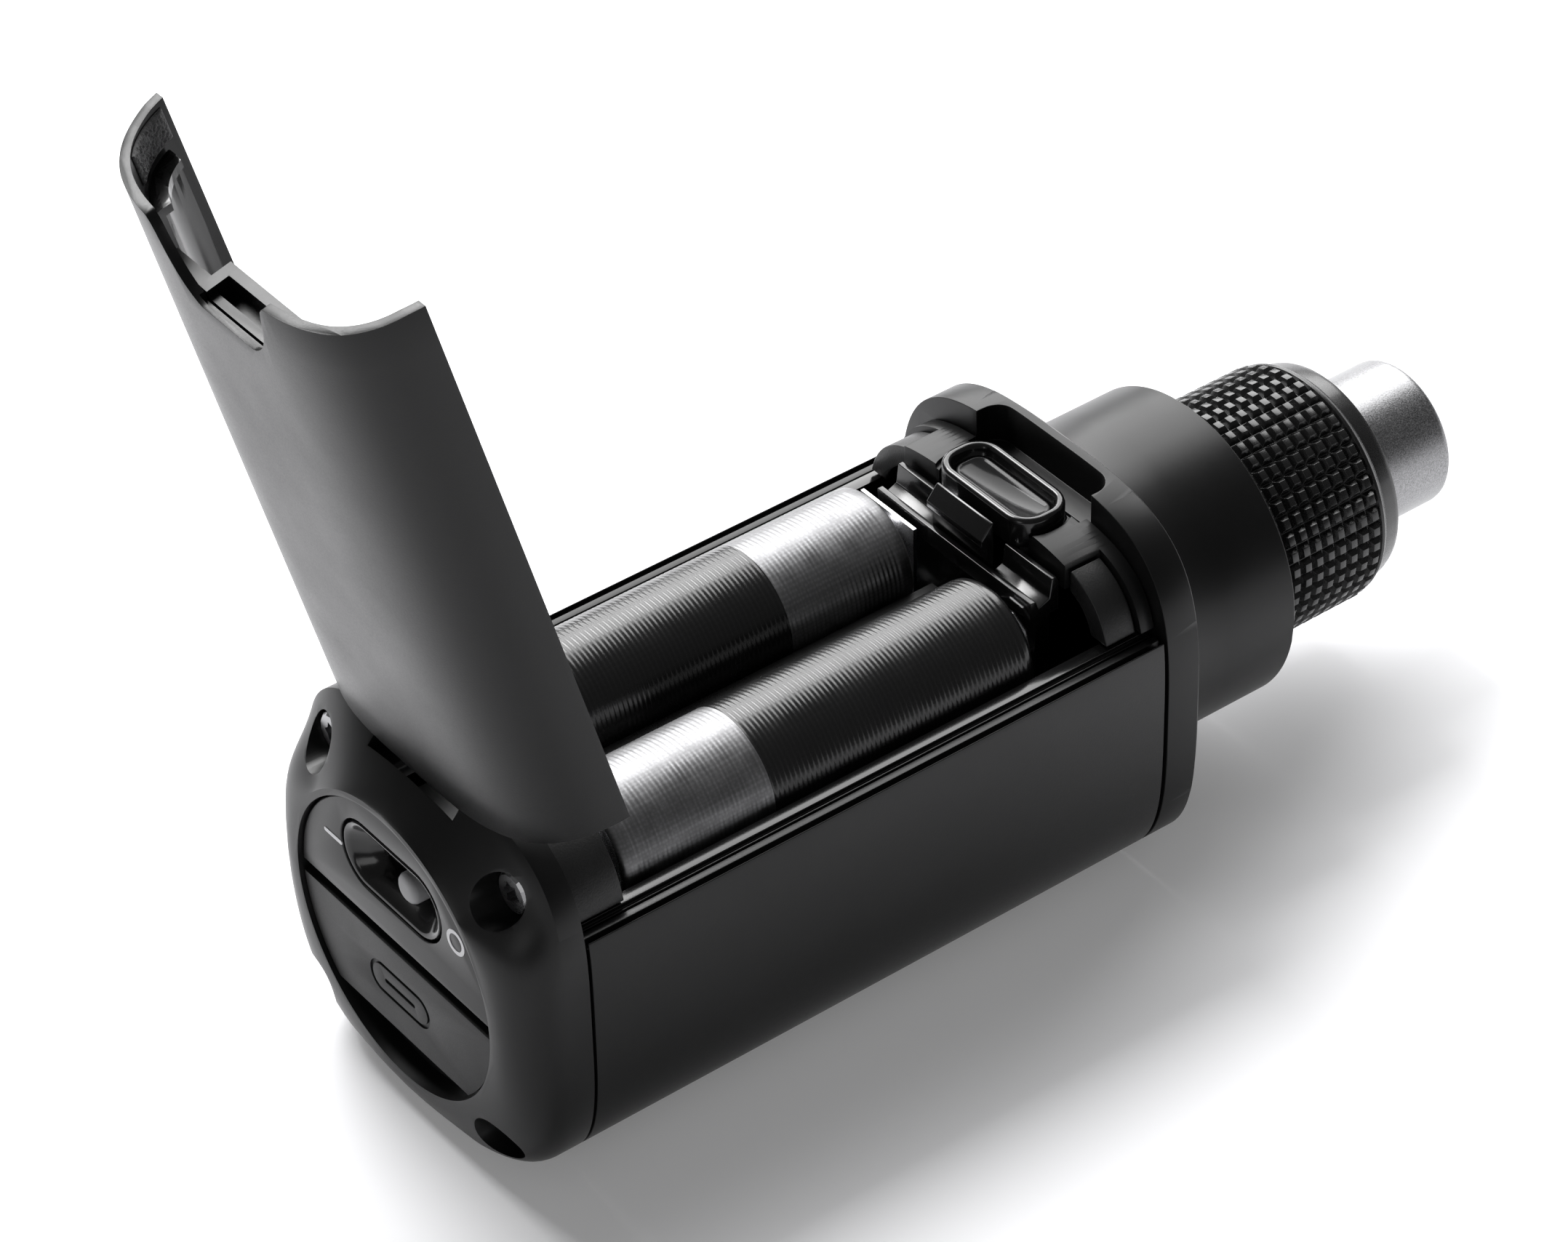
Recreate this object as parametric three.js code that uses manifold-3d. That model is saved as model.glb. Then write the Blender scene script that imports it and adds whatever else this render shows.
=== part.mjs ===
// Plug-on wireless transmitter for a handheld microphone, with its battery door open.
// Millimetres, +Z up, +X from the switch cap to the microphone connector.
// Stations along X are counted from the face of the end cap, and heights from the connector axis;
// one outer group moves the whole design so that its flat base centre is the origin.
import * as THREE from 'three';
import { mergeVertices } from 'three/addons/utils/BufferGeometryUtils.js';
import Module from 'manifold-3d';

const wasm = await Module();
wasm.setup();

// ---- driving dimensions -------------------------------------------------------------------------
const BASE_DROP = 20.4;            // connector axis to the flat base
const BODY_MIDDLE = 43;            // station of the origin along the body
const FINE = 0.3;                  // working gap between neighbouring pieces

const HALF_WIDTH = 21.1;           // body section
const CROWN = 21.2;
const BOTTOM_POWER = 3.6;          // squareness of the lower half of every section
const BODY = { half: HALF_WIDTH, crown: CROWN, power: 3.8 };
const COLLAR = { half: HALF_WIDTH, crown: 21.6, power: 3.5 };
const SECTION_STEPS = 40;

const CAP_BAND = [5.4, 8.0];       // full-size rim of the end cap
const CAP_LIP = 16.6;              // radius of the raised lip round the control disc
const DISC_RADIUS = 15.9;
const DISC_FLOOR = 2.6;
const CAP_WALL = 3.8;
const CAP_CAVITY = 15.5;
const SCREW_OFFSET = 14.6;
const SCREW = { floor: 4.3, top: 5.9, head: 2.3, shank: 1.05, hole: 1.35, end: 7.9 };
const WELL_RADIUS = 2.7;
const WELL_FLOOR = 6.2;
const HINGE_NOTCH = { front: 3.4, half: 6.9, floor: 14.6 };
const DISH = { halfLength: 8.3, halfHeight: 4.1, corner: 4 };
const SWITCH = { z: 8.3, halfLength: 8, halfHeight: 3.8, slot: 4.35, slotHeight: 2.15, rest: -2 };
const PORT = { z: -6, halfWidth: 4.5, halfHeight: 1.6, wall: 0.35, coverLow: -11.3, coverHigh: -1 };

const SHELL = [8.4, 77.8];         // U-shaped outer shell
const SHELL_TOP = 10.35;
const SHELL_WALL = 1.6;
const CHASSIS_TOP = 10.8;
const CHASSIS_WALL = 1.6;

const FRONT_FACE = 78.3;           // front housing: collar, taper, barrel
const COLLAR_END = 82.5;
const TAPER_END = 86;
const BARREL_END = 98.8;
const BARREL_RADIUS = 17.05;
const BARREL_BORE = 15.2;
const BARREL_WALL = 2;

const RING = [99.3, 114.4];        // knurled lock ring and its smooth nose
const RING_RADIUS = 13.3;
const RING_NOSE_END = 117.5;
const RING_NOSE_RADIUS = 12.3;
const RING_BORE = 10.7;

const SLEEVE_RADIUS = 8.1;         // microphone connector nose
const SLEEVE_BORE = 7.25;
const SLEEVE_END = 128.2;
const NOSE_RISE = 0.4;              // barrel and connector stand this much above the body's axis
const SLEEVE_FLANGE = [93.9, 96.3];
const SLEEVE_FLANGE_RADIUS = 12;
const INSERT = [100, 125.2];
const INSERT_RADIUS = 6.95;
const SOCKET_CIRCLE = 3.6;

const HINGE = { x: 6.85, z: 18.32 };
const PIN_RADIUS = 1;
const ARM_HALF = 6.2;
const DOOR_OPEN = THREE.MathUtils.degToRad(105.3);
const DOOR = [9.5, 76.8];          // the door's section grows slimmer towards its free end
const DOOR_REAR = { half: 21.1, crown: 20.8, power: 3.7 };
const DOOR_FRONT = { half: 20.9, crown: 19.9, power: 3.8 };
const DOOR_EDGE = 10.9;
const SKIN = 1.0;
const SKIN_HEEL = { length: 0.8, thickness: 0.5 };   // thin rear edge that swings clear of the cap
const LINER = [14.6, 70.2];
const LINER_INSETS = [1.3, 2.3];
const LINER_EDGE = 12;
const PAD = { x: [72.7, 76.2], insets: [1.1, 1.5], inner: 14, low: 12.5 };
// One side of the notch that the door leaves round the latch and the display, as (x, y).
const NOTCH = [[68.5, 3.9], [69.2, 5.2], [70.4, 6.3], [71.9, 7.1], [73.9, 7.8], [75.8, 8.3], [77.2, 9.6]];

const DECK = [72, 78];             // parts that the door closes over
const DECK_INSETS = [1.3, 4.1];
const DECK_HALF = 12.5;
const DECK_FLOOR = 15;
const DECK_WRAP = 76.4;            // the deck runs on down both sides from this station
const SHOULDER_INSETS = [1.8, 4.1];
const SHOULDER_FLOOR = 11.2;
const REAR_SHOULDER = [8.5, 14];
const REAR_SHOULDER_INNER = 7.4;
const FRONT_SHOULDER = [72.4, 76.1];

const CELL_RADIUS = 7.1;
const CELL = [15.9, 65.3];
const CELL_Y = 9.3;
const CELL_Z = 9.8;
const NUB = { radius: 2.7, length: 1.1 };
const TRAY = { x: [14.5, 66.9], half: 17, z: [0.8, 8.4], divider: 9.5, dividerHalf: 1.8 };

const BEZEL = { x: [71, 77.9], half: 7.3, z: [16.6, 19.8], rim: 1.3, corner: 2.9, window: [18.2, 18.8] };
const LATCH_POCKET = 67.9;         // room inside the closed door for the latch's tip
const LATCH = { half: 4.3, back: 69.8, tip: 68.2, tipHeight: 17.7, top: 19.3, foot: 11.4 };


// ---- solids -------------------------------------------------------------------------------------
function solid(geometry) {
  const bare = geometry.index ? geometry.clone() : geometry;
  bare.deleteAttribute('normal');
  bare.deleteAttribute('uv');
  const merged = mergeVertices(bare, 1e-4);
  const place = merged.attributes.position.array;
  const corners = [];
  const index = merged.index.array;
  for (let i = 0; i < index.length; i += 3) {
    const [a, b, c] = [index[i], index[i + 1], index[i + 2]];
    if (a !== b && b !== c && a !== c) corners.push(a, b, c);
  }
  if (signedVolume(place, corners) < 0) corners.reverse();
  const mesh = new wasm.Mesh({
    numProp: 3,
    vertProperties: new Float32Array(place),
    triVerts: new Uint32Array(corners),
  });
  mesh.merge();
  return new wasm.Manifold(mesh);
}

function signedVolume(place, corners) {
  const [a, b, c] = [new THREE.Vector3(), new THREE.Vector3(), new THREE.Vector3()];
  let sum = 0;
  for (let i = 0; i < corners.length; i += 3) {
    a.fromArray(place, corners[i] * 3);
    b.fromArray(place, corners[i + 1] * 3);
    c.fromArray(place, corners[i + 2] * 3);
    sum += a.dot(b.cross(c));
  }
  return sum;
}

function geometryOf(manifold) {
  const mesh = manifold.getMesh();
  const geometry = new THREE.BufferGeometry();
  geometry.setAttribute('position', new THREE.BufferAttribute(mesh.vertProperties, 3));
  geometry.setIndex(new THREE.BufferAttribute(mesh.triVerts, 1));
  return geometry;
}

const cut = (body, ...tools) => tools.reduce((left, tool) => left.subtract(tool), body);
const join = (body, ...more) => more.reduce((left, piece) => left.add(piece), body);

// ---- shapes -------------------------------------------------------------------------------------
// A point of a section, moved inwards by inset, as (y, z).
function sectionPoint(turn, inset, profile) {
  const c = Math.cos(turn);
  const s = Math.sin(turn);
  const { half } = profile;
  const power = s >= 0 ? profile.power : BOTTOM_POWER;
  const height = s >= 0 ? profile.crown : half;
  const y = half * Math.sign(c) * Math.abs(c) ** (2 / power);
  const z = height * Math.sign(s) * Math.abs(s) ** (2 / power);
  const normal = new THREE.Vector2(
    Math.sign(y) * (Math.abs(y) / half) ** (power - 1) / half,
    Math.sign(z) * (Math.abs(z) / height) ** (power - 1) / height,
  ).normalize();
  const low = -(BASE_DROP - inset);
  return new THREE.Vector2(y - inset * normal.x, Math.max(z - inset * normal.y, low));
}

function sectionPoints(inset, profile = BODY) {
  const points = [];
  for (let i = 0; i < SECTION_STEPS; i++) {
    points.push(sectionPoint(i / SECTION_STEPS * 2 * Math.PI, inset, profile));
  }
  return points;
}

// The door's section at a station, or the section that continues it past its ends.
function doorProfile(x) {
  const share = (x - DOOR[0]) / (DOOR[1] - DOOR[0]);
  const blend = (key) => DOOR_REAR[key] + share * (DOOR_FRONT[key] - DOOR_REAR[key]);
  return { half: blend('half'), crown: blend('crown'), power: blend('power') };
}

// Points of a circle at the angles of a section's points.
function circlePoints(radius, rise = 0) {
  return sectionPoints(0).map((p) => {
    const angle = Math.atan2(p.y, p.x);
    return new THREE.Vector2(radius * Math.cos(angle), rise + radius * Math.sin(angle));
  });
}

const blendPoints = (from, to, share) => from.map((p, i) => p.clone().lerp(to[i], share));

// Joins rings of (y, z) points at their stations into one closed skin with flat ends.
function loft(rings) {
  const count = rings[0].points.length;
  const place = [];
  rings.forEach(({ x, points }) => points.forEach((p) => place.push(x, p.x, p.y)));
  const last = rings.length - 1;
  place.push(rings[0].x, 0, 0, rings[last].x, 0, 0);
  const [first, end] = [count * rings.length, count * rings.length + 1];
  const index = [];
  for (let i = 0; i < count; i++) {
    const j = (i + 1) % count;
    for (let r = 0; r < last; r++) {
      const [a, b] = [r * count, (r + 1) * count];
      index.push(a + i, a + j, b + j, a + i, b + j, b + i);
    }
    index.push(first, j, i, end, last * count + i, last * count + j);
  }
  const geometry = new THREE.BufferGeometry();
  geometry.setAttribute('position', new THREE.Float32BufferAttribute(place, 3));
  geometry.setIndex(index);
  return solid(geometry);
}

const ALONG_X = new THREE.Matrix4().makeBasis(
  new THREE.Vector3(0, 1, 0), new THREE.Vector3(0, 0, 1), new THREE.Vector3(1, 0, 0));
const ALONG_Y = new THREE.Matrix4().makeBasis(
  new THREE.Vector3(1, 0, 0), new THREE.Vector3(0, 0, 1), new THREE.Vector3(0, -1, 0));

function extrude(shape, depth, curveSegments = 4) {
  return new THREE.ExtrudeGeometry(shape, { depth, bevelEnabled: false, curveSegments });
}

// Prism between two stations, from a shape in (y, z).
function prismX(shape, [from, to]) {
  return solid(extrude(shape, to - from).applyMatrix4(ALONG_X).translate(from, 0, 0));
}

// Prism across the body, from a shape in (x, z), between y = +half and y = -half about a middle.
function prismY(shape, half, middle = 0) {
  return solid(extrude(shape, 2 * half).applyMatrix4(ALONG_Y).translate(0, middle + half, 0));
}

// Upright prism from a shape in (x, y).
function prismZ(shape, [from, to]) {
  return solid(extrude(shape, to - from).translate(0, 0, from));
}

function box([x0, x1], [y0, y1], [z0, z1]) {
  const geometry = new THREE.BoxGeometry(x1 - x0, y1 - y0, z1 - z0);
  return solid(geometry.translate((x0 + x1) / 2, (y0 + y1) / 2, (z0 + z1) / 2));
}

function rodX(radius, [from, to], y = 0, z = 0, sides = 28) {
  const geometry = new THREE.CylinderGeometry(radius, radius, to - from, sides);
  return solid(geometry.rotateZ(-Math.PI / 2).translate((from + to) / 2, y, z));
}

function rodY(radius, half, x, z, sides = 20) {
  return solid(new THREE.CylinderGeometry(radius, radius, 2 * half, sides).translate(x, 0, z));
}

// Turned piece about the X axis, from (station, radius) pairs that start and end on the axis
// or close on themselves.
function turned(pairs, sides = 32) {
  const points = pairs.map(([x, r]) => new THREE.Vector2(r, x));
  return solid(new THREE.LatheGeometry(points, sides).rotateZ(-Math.PI / 2));
}

// Turned tube with a plain bore.
function tube(outer, inner, [from, to], sides = 28) {
  return turned([[from, inner], [from, outer], [to, outer], [to, inner], [from, inner]], sides);
}

function polygon(points) {
  return new THREE.Shape(points.map(([x, y]) => new THREE.Vector2(x, y)));
}

// Rectangle with round corners, centred on (cx, cy).
function roundRect(cx, cy, halfX, halfY, corner) {
  const shape = new THREE.Shape();
  const [left, right, low, high] = [cx - halfX, cx + halfX, cy - halfY, cy + halfY];
  shape.moveTo(left + corner, low);
  shape.lineTo(right - corner, low);
  shape.absarc(right - corner, low + corner, corner, -Math.PI / 2, 0);
  shape.lineTo(right, high - corner);
  shape.absarc(right - corner, high - corner, corner, 0, Math.PI / 2);
  shape.lineTo(left + corner, high);
  shape.absarc(left + corner, high - corner, corner, Math.PI / 2, Math.PI);
  shape.lineTo(left, low + corner);
  shape.absarc(left + corner, low + corner, corner, Math.PI, 1.5 * Math.PI);
  return shape;
}

// Disc segment between two heights, in (y, z).
function discSegment(radius, low, high, steps = 18) {
  const shape = new THREE.Shape();
  const lowAngle = Math.asin(low / radius);
  const highAngle = Math.asin(Math.min(high / radius, 1));
  for (let i = 0; i <= steps; i++) {
    const angle = lowAngle + (highAngle - lowAngle) * i / steps;
    const at = [radius * Math.cos(angle), radius * Math.sin(angle)];
    if (i === 0) shape.moveTo(...at);
    else shape.lineTo(...at);
  }
  for (let i = 0; i <= steps; i++) {
    const angle = Math.PI - highAngle + (highAngle - lowAngle) * i / steps;
    shape.lineTo(radius * Math.cos(angle), radius * Math.sin(angle));
  }
  return shape;
}

// Band of the body section between two insets.
function band([outer, inner], span) {
  const skin = prismX(new THREE.Shape(sectionPoints(outer)), span);
  return cut(skin, prismX(new THREE.Shape(sectionPoints(inner)), [span[0] - 1, span[1] + 1]));
}

// Solid inside the door's section at an inset, and the band between two insets.
function doorCore(inset, span) {
  return loft(span.map((x) => ({ x, points: sectionPoints(inset, doorProfile(x)) })));
}

function doorBand([outer, inner], span) {
  return cut(doorCore(outer, span), doorCore(inner, [span[0] - 1, span[1] + 1]));
}

// Blocks that reach past the body on every side, for cutting at a height.
const PAST = 30;
const above = (z) => box([0, 90], [-PAST, PAST], [z, PAST]);
const below = (z) => box([0, 90], [-PAST, PAST], [-PAST, z]);

// Helical spring about X, wound from round wire.
function spring(radius, wire, [from, to], turns) {
  const path = new THREE.CatmullRomCurve3(helixPoints(radius, wire, from, to, turns));
  const wireShape = new THREE.Shape().absarc(0, 0, wire, 0, 2 * Math.PI);
  const geometry = new THREE.ExtrudeGeometry(wireShape, {
    steps: turns * 10, extrudePath: path, bevelEnabled: false, curveSegments: 3,
  });
  return solid(geometry);
}

function helixPoints(radius, wire, from, to, turns) {
  const points = [];
  const count = turns * 12;
  for (let i = 0; i <= count; i++) {
    const angle = i / count * turns * 2 * Math.PI;
    const x = from + wire + (to - from - 2 * wire) * i / count;
    points.push(new THREE.Vector3(x, radius * Math.cos(angle), radius * Math.sin(angle)));
  }
  return points;
}

// ---- end cap and controls -----------------------------------------------------------------------
const diagonals = [[1, 1], [-1, 1], [1, -1], [-1, -1]];

// Outline of the cap's dome at a share of its depth. It is round at the sides and flatter at the
// top, where the open door stands over it.
function domePoints(depth) {
  const outline = sectionPoints(0);
  const round = Math.sqrt(1 - (1 - depth) ** 2);
  const flat = depth ** 1.15;
  return circlePoints(CAP_LIP).map((p, i) => {
    const height = Math.sin(i / SECTION_STEPS * 2 * Math.PI);
    const flatness = THREE.MathUtils.smoothstep(height, 0.1, 0.75);
    return p.lerp(outline[i], round + (flat - round) * flatness);
  });
}

function endCap() {
  const outline = sectionPoints(0);
  const rings = [{ x: 0, points: circlePoints(CAP_LIP) }];
  for (const depth of [0.03, 0.1, 0.22, 0.4, 0.62, 0.84]) {
    rings.push({ x: CAP_BAND[0] * depth, points: domePoints(depth) });
  }
  rings.push({ x: CAP_BAND[0], points: outline }, { x: CAP_BAND[1], points: outline });
  const back = CAP_BAND[1] + 1;
  const wells = diagonals.flatMap(([y, z]) => [
    rodX(WELL_RADIUS, [-1, WELL_FLOOR], y * SCREW_OFFSET, z * SCREW_OFFSET, 16),
    rodX(SCREW.hole, [0, back], y * SCREW_OFFSET, z * SCREW_OFFSET, 10),
  ]);
  const { front, half, floor } = HINGE_NOTCH;
  return cut(
    loft(rings),
    rodX(DISC_RADIUS, [-1, DISC_FLOOR], 0, 0, 36),
    rodX(CAP_CAVITY, [CAP_WALL, back], 0, 0, 28),
    box([front, back], [-half, half], [floor, CROWN + 3]),
    prismX(dishOutline(), [0, 5]),
    box([0, 5], [-5.2, 5.2], [PORT.z - 2.9, PORT.z + 2.5]),
    rodY(PIN_RADIUS + FINE, 8, HINGE.x, HINGE.z, 12),
    ...wells,
  );
}

function dishOutline() {
  return roundRect(0, SWITCH.z, DISH.halfLength, DISH.halfHeight, DISH.corner);
}

function capScrew([y, z]) {
  const { floor, top, head, shank, end } = SCREW;
  const screw = turned([
    [floor, 0], [floor, head - 0.3], [floor + 0.3, head], [top, head],
    [top, shank], [end, shank], [end, 0],
  ], 14);
  const socket = prismX(starShape(1.3, 0.9, 6), [floor - 1, floor + 1]);
  return cut(screw, socket).translate([0, y * SCREW_OFFSET, z * SCREW_OFFSET]);
}

function starShape(outer, inner, points) {
  const corners = [];
  for (let i = 0; i < 2 * points; i++) {
    const radius = i % 2 ? inner : outer;
    const angle = i / points * Math.PI;
    corners.push([radius * Math.cos(angle), radius * Math.sin(angle)]);
  }
  return polygon(corners);
}

function switchPanel() {
  const plate = prismX(discSegment(15.6, 0.5, 15.5), [0.45, 2.3]);
  return cut(plate, prismX(dishOutline(), [-1, 4]));
}

function switchDish() {
  const { z, halfLength, halfHeight, slot, slotHeight } = SWITCH;
  const insert = prismX(roundRect(0, z, halfLength, halfHeight, 3.7), [0.5, 3.8]);
  const scoop = new THREE.SphereGeometry(1, 18, 10).scale(1.7, 7.2, 3.3).translate(0.5, 0, z);
  const window = prismX(roundRect(0, z, slot, slotHeight, 1.8), [0, 5]);
  return cut(insert, solid(scoop), window);
}

function switchSlider() {
  const { z, rest } = SWITCH;
  const knob = turned([[0.6, 0], [0.6, 1.7], [0.85, 1.9], [4.5, 1.9], [4.5, 0]], 18);
  const foot = box([4.2, 4.9], [-6.3, 6.3], [-2.6, 2.6]);
  return join(knob, foot).translate([0, rest, z]);
}

function slideSwitch() {
  return join(
    box([5.6, 9.4], [-6.5, 6.5], [SWITCH.z - 3, SWITCH.z + 3]),
    box([9.2, 10.6], [-5, 5], [SWITCH.z - 2, SWITCH.z + 2]),
  );
}

function portCover() {
  const { z, coverLow, coverHigh } = PORT;
  const flap = prismX(discSegment(15.5, coverLow, coverHigh), [0.45, 2.2]);
  const plug = box([2.1, 3.3], [-4.6, 4.6], [z - 1.9, z + 1.9]);
  const grip = box([0.2, 0.5], [-5, 5], [coverLow + 0.4, coverLow + 1.1]);
  return join(flap, plug, grip);
}

function portReceptacle() {
  const { z, halfWidth, halfHeight, wall } = PORT;
  const shell = prismX(roundRect(0, z, halfWidth, halfHeight, 1.5), [4.2, 11.2]);
  const hollow = roundRect(0, z, halfWidth - wall, halfHeight - wall, 1.2);
  const mouth = prismX(hollow, [4, 10.4]);
  const tongue = box([5, 10.8], [-3.2, 3.2], [z - 0.35, z + 0.35]);
  return join(cut(shell, mouth), tongue);
}

// ---- body ---------------------------------------------------------------------------------------
function bodyShell() {
  return cut(band([0, SHELL_WALL], SHELL), above(SHELL_TOP));
}

function chassis() {
  const outer = SHELL_WALL + FINE;
  const span = [SHELL[0] + 0.2, SHELL[1] - 0.2];
  return cut(band([outer, outer + CHASSIS_WALL], span), above(CHASSIS_TOP));
}

function batteryTray() {
  const { x, half, z, divider, dividerHalf } = TRAY;
  const block = join(box(x, [-half, half], z), box(x, [-dividerHalf, dividerHalf], [z[0], divider]));
  const troughs = [CELL_Y, -CELL_Y].map((y) => rodX(CELL_RADIUS + FINE, [0, 90], y, CELL_Z, 28));
  return cut(block, ...troughs);
}

// Cell with its raised terminal at the end that tip points to.
function cell(side, tip) {
  const end = tip > 0 ? CELL[1] : CELL[0];
  const start = tip > 0 ? CELL[0] : CELL[1];
  const edge = 0.5 * tip;
  const profile = [
    [start, 0], [start, CELL_RADIUS - 0.5], [start + edge, CELL_RADIUS],
    [end - edge, CELL_RADIUS], [end, CELL_RADIUS - 0.5], [end, NUB.radius],
    [end + tip * NUB.length, NUB.radius], [end + tip * NUB.length, 0],
  ];
  return turned(profile, 28).translate([0, side * CELL_Y, CELL_Z]);
}

function rearCarrier() {
  return join(
    box([12.2, 13], [-14.2, 14.2], [1, 14]),
    box([12.2, 14.2], [-1.5, 1.5], [9, 14]),
  );
}

function contactPlate(x, side) {
  const middle = side * CELL_Y;
  return box([x, x + 0.4], [middle - 4.2, middle + 4.2], [CELL_Z - 4.2, CELL_Z + 4.2]);
}

function cellSpring(x, side) {
  return spring(3.2, 0.25, x, 2).translate([0, side * CELL_Y, CELL_Z]);
}

// Bar across the bay that holds the front contacts: two lips with a channel between them.
function contactCarrier() {
  const bar = polygon([
    [68.7, 1], [70.6, 1], [70.6, 12.4], [71.7, 12.4], [71.7, 16], [71.4, 16.5], [70.8, 16.5],
    [70.5, 14.3], [69.1, 13.7], [68.8, 14.7], [68.1, 14.7], [68.1, 12.6], [68.7, 12],
  ]);
  const pocket = box([68.65, 74], [-4.7, 4.7], [10.8, 18]);
  return cut(prismY(bar, 12), pocket);
}

// Circuit board with its two rear corners cut away for the cap's screws.
function mainBoard() {
  const plate = box([12, 76], [-16, 16], [-3.6, -2]);
  return cut(plate, box([11, 16], [-20, -12], [-5, 0]), box([11, 16], [12, 20], [-5, 0]));
}

function shieldCan() {
  return join(
    box([20, 46], [-12, 12], [-7.2, -3.9]),
    box([21, 45], [-11, 11], [-7.6, -7]),
  );
}

function powerModule() {
  return join(
    box([52, 66], [-8, 8], [-6.6, -3.9]),
    box([54, 64], [-5, 5], [-8.4, -6.5]),
  );
}

// ---- display, latch and the parts under the door ------------------------------------------------
function frontDeck() {
  const slab = box([60, 90], [-DECK_HALF, DECK_HALF], [DECK_FLOOR, PAST]);
  const wrap = doorBand(DECK_INSETS, [DECK_WRAP, DECK[1]]).intersect(above(SHOULDER_FLOOR));
  const block = join(doorCore(DECK_INSETS[0], DECK).intersect(slab), wrap);
  const seat = prismZ(bezelOutline(FINE), [BEZEL.z[0] - 1, PAST]);
  const trench = box([77, 80], [-8.6, 8.6], [17, PAST]);
  const latchRoom = box([70, 75], [-4.9, 4.9], [DECK_FLOOR - 1, 16.4]);
  return cut(block, seat, trench, latchRoom);
}

// Shoulder on one side of the bay, from the rail up to a distance inner from the middle.
function shoulder(span, inner, side) {
  const reach = side > 0 ? [inner, PAST] : [-PAST, -inner];
  const keep = box([span[0] - 1, span[1] + 1], reach, [SHOULDER_FLOOR, PAST]);
  return doorBand(SHOULDER_INSETS, span).intersect(keep);
}

// Outline of the bezel in (x, y), grown by a margin.
function bezelOutline(margin) {
  const { x, half, corner } = BEZEL;
  const round = Math.min(corner, corner + margin);
  return roundRect((x[0] + x[1]) / 2, 0, (x[1] - x[0]) / 2 + margin, half + margin, round);
}

function displayBezel() {
  const { z, rim } = BEZEL;
  return cut(prismZ(bezelOutline(0), z), prismZ(bezelOutline(-rim), [z[0] - 1, z[1] + 1]));
}

const displayWindow = () => prismZ(bezelOutline(-BEZEL.rim - 0.2), BEZEL.window);

function displayModule() {
  const { x, half, rim } = BEZEL;
  const inner = rim + 0.4;
  const reach = half - inner - 1;
  return box([x[0] + inner, x[1] - inner], [-reach, reach], [16.8, 17.9]);
}

function latchTab() {
  const { half, back, tip, tipHeight, top, foot } = LATCH;
  const outline = polygon([
    [back, foot], [back, top], [back - 0.3, top], [tip, tipHeight], [tip, tipHeight - 0.7],
    [back - 0.85, tipHeight - 1.3], [back - 0.85, foot],
  ]);
  return prismY(outline, half);
}

function latchSpring() {
  return spring(1, 0.14, [LATCH.back + FINE, 71.6], 3).translate([0, 0, 12.2]);
}

// ---- front housing, lock ring and connector -----------------------------------------------------
function frontHousing() {
  const outline = sectionPoints(0, COLLAR);
  const round = circlePoints(BARREL_RADIUS, NOSE_RISE);
  const body = loft([
    { x: FRONT_FACE, points: outline },
    { x: COLLAR_END - 0.4, points: outline },
    { x: COLLAR_END, points: blendPoints(outline, round, 0.1) },
    { x: COLLAR_END + 0.8, points: blendPoints(outline, round, 0.6) },
    { x: COLLAR_END + 1.8, points: blendPoints(outline, round, 0.87) },
    { x: TAPER_END, points: round },
    { x: BARREL_END - 0.4, points: round },
    { x: BARREL_END, points: circlePoints(BARREL_RADIUS - 0.4, NOSE_RISE) },
  ]);
  const trench = prismZ(roundRect(78.6, 0, 2.6, 8.8, 2), [17, 30]);
  return cut(
    body,
    rodX(BARREL_BORE, [70, BARREL_END - BARREL_WALL], 0, NOSE_RISE, 32),
    rodX(SLEEVE_RADIUS + FINE, [80, 110], 0, NOSE_RISE, 28),
    trench,
  );
}

function xlrSleeve() {
  const [flange, seat] = SLEEVE_FLANGE;
  return turned([
    [flange, SLEEVE_BORE], [flange, SLEEVE_FLANGE_RADIUS], [seat, SLEEVE_FLANGE_RADIUS],
    [seat, SLEEVE_RADIUS], [SLEEVE_END - 0.4, SLEEVE_RADIUS], [SLEEVE_END, SLEEVE_RADIUS - 0.3],
    [SLEEVE_END, SLEEVE_BORE], [flange, SLEEVE_BORE],
  ], 32);
}

function lockRing() {
  return turned([
    [RING[0], RING_BORE], [RING[0], RING_RADIUS - 0.5], [RING[0] + 0.5, RING_RADIUS],
    [RING[1], RING_RADIUS], [RING[1] + 0.6, RING_NOSE_RADIUS + 0.3],
    [RING_NOSE_END - 0.6, RING_NOSE_RADIUS], [RING_NOSE_END, RING_NOSE_RADIUS - 0.6],
    [RING_NOSE_END, SLEEVE_RADIUS + 0.5], [112.6, SLEEVE_RADIUS + 0.5], [112.6, RING_BORE],
    [RING[0], RING_BORE],
  ], 36);
}

const thrustWasher = () => tube(10.3, SLEEVE_RADIUS + 0.4, [111, 112.2], 24);

const socketPlaces = [90, 210, 330].map((degrees) => {
  const angle = THREE.MathUtils.degToRad(degrees);
  return [SOCKET_CIRCLE * Math.cos(angle), SOCKET_CIRCLE * Math.sin(angle)];
});

function xlrInsert() {
  const core = turned([
    [INSERT[0], 0], [INSERT[0], INSERT_RADIUS], [INSERT[1] - 0.3, INSERT_RADIUS],
    [INSERT[1], INSERT_RADIUS - 0.3], [INSERT[1], 0],
  ], 24);
  return cut(core, ...socketPlaces.map(([y, z]) => rodX(1.7, [110, 130], y, z, 12)));
}

function xlrSocket([y, z]) {
  const socket = turned([
    [110.4, 0], [110.4, 1.4], [124.4, 1.4], [124.4, 1.15], [112, 1.15], [112, 0],
  ], 12);
  return socket.translate([0, y, z]);
}

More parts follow.
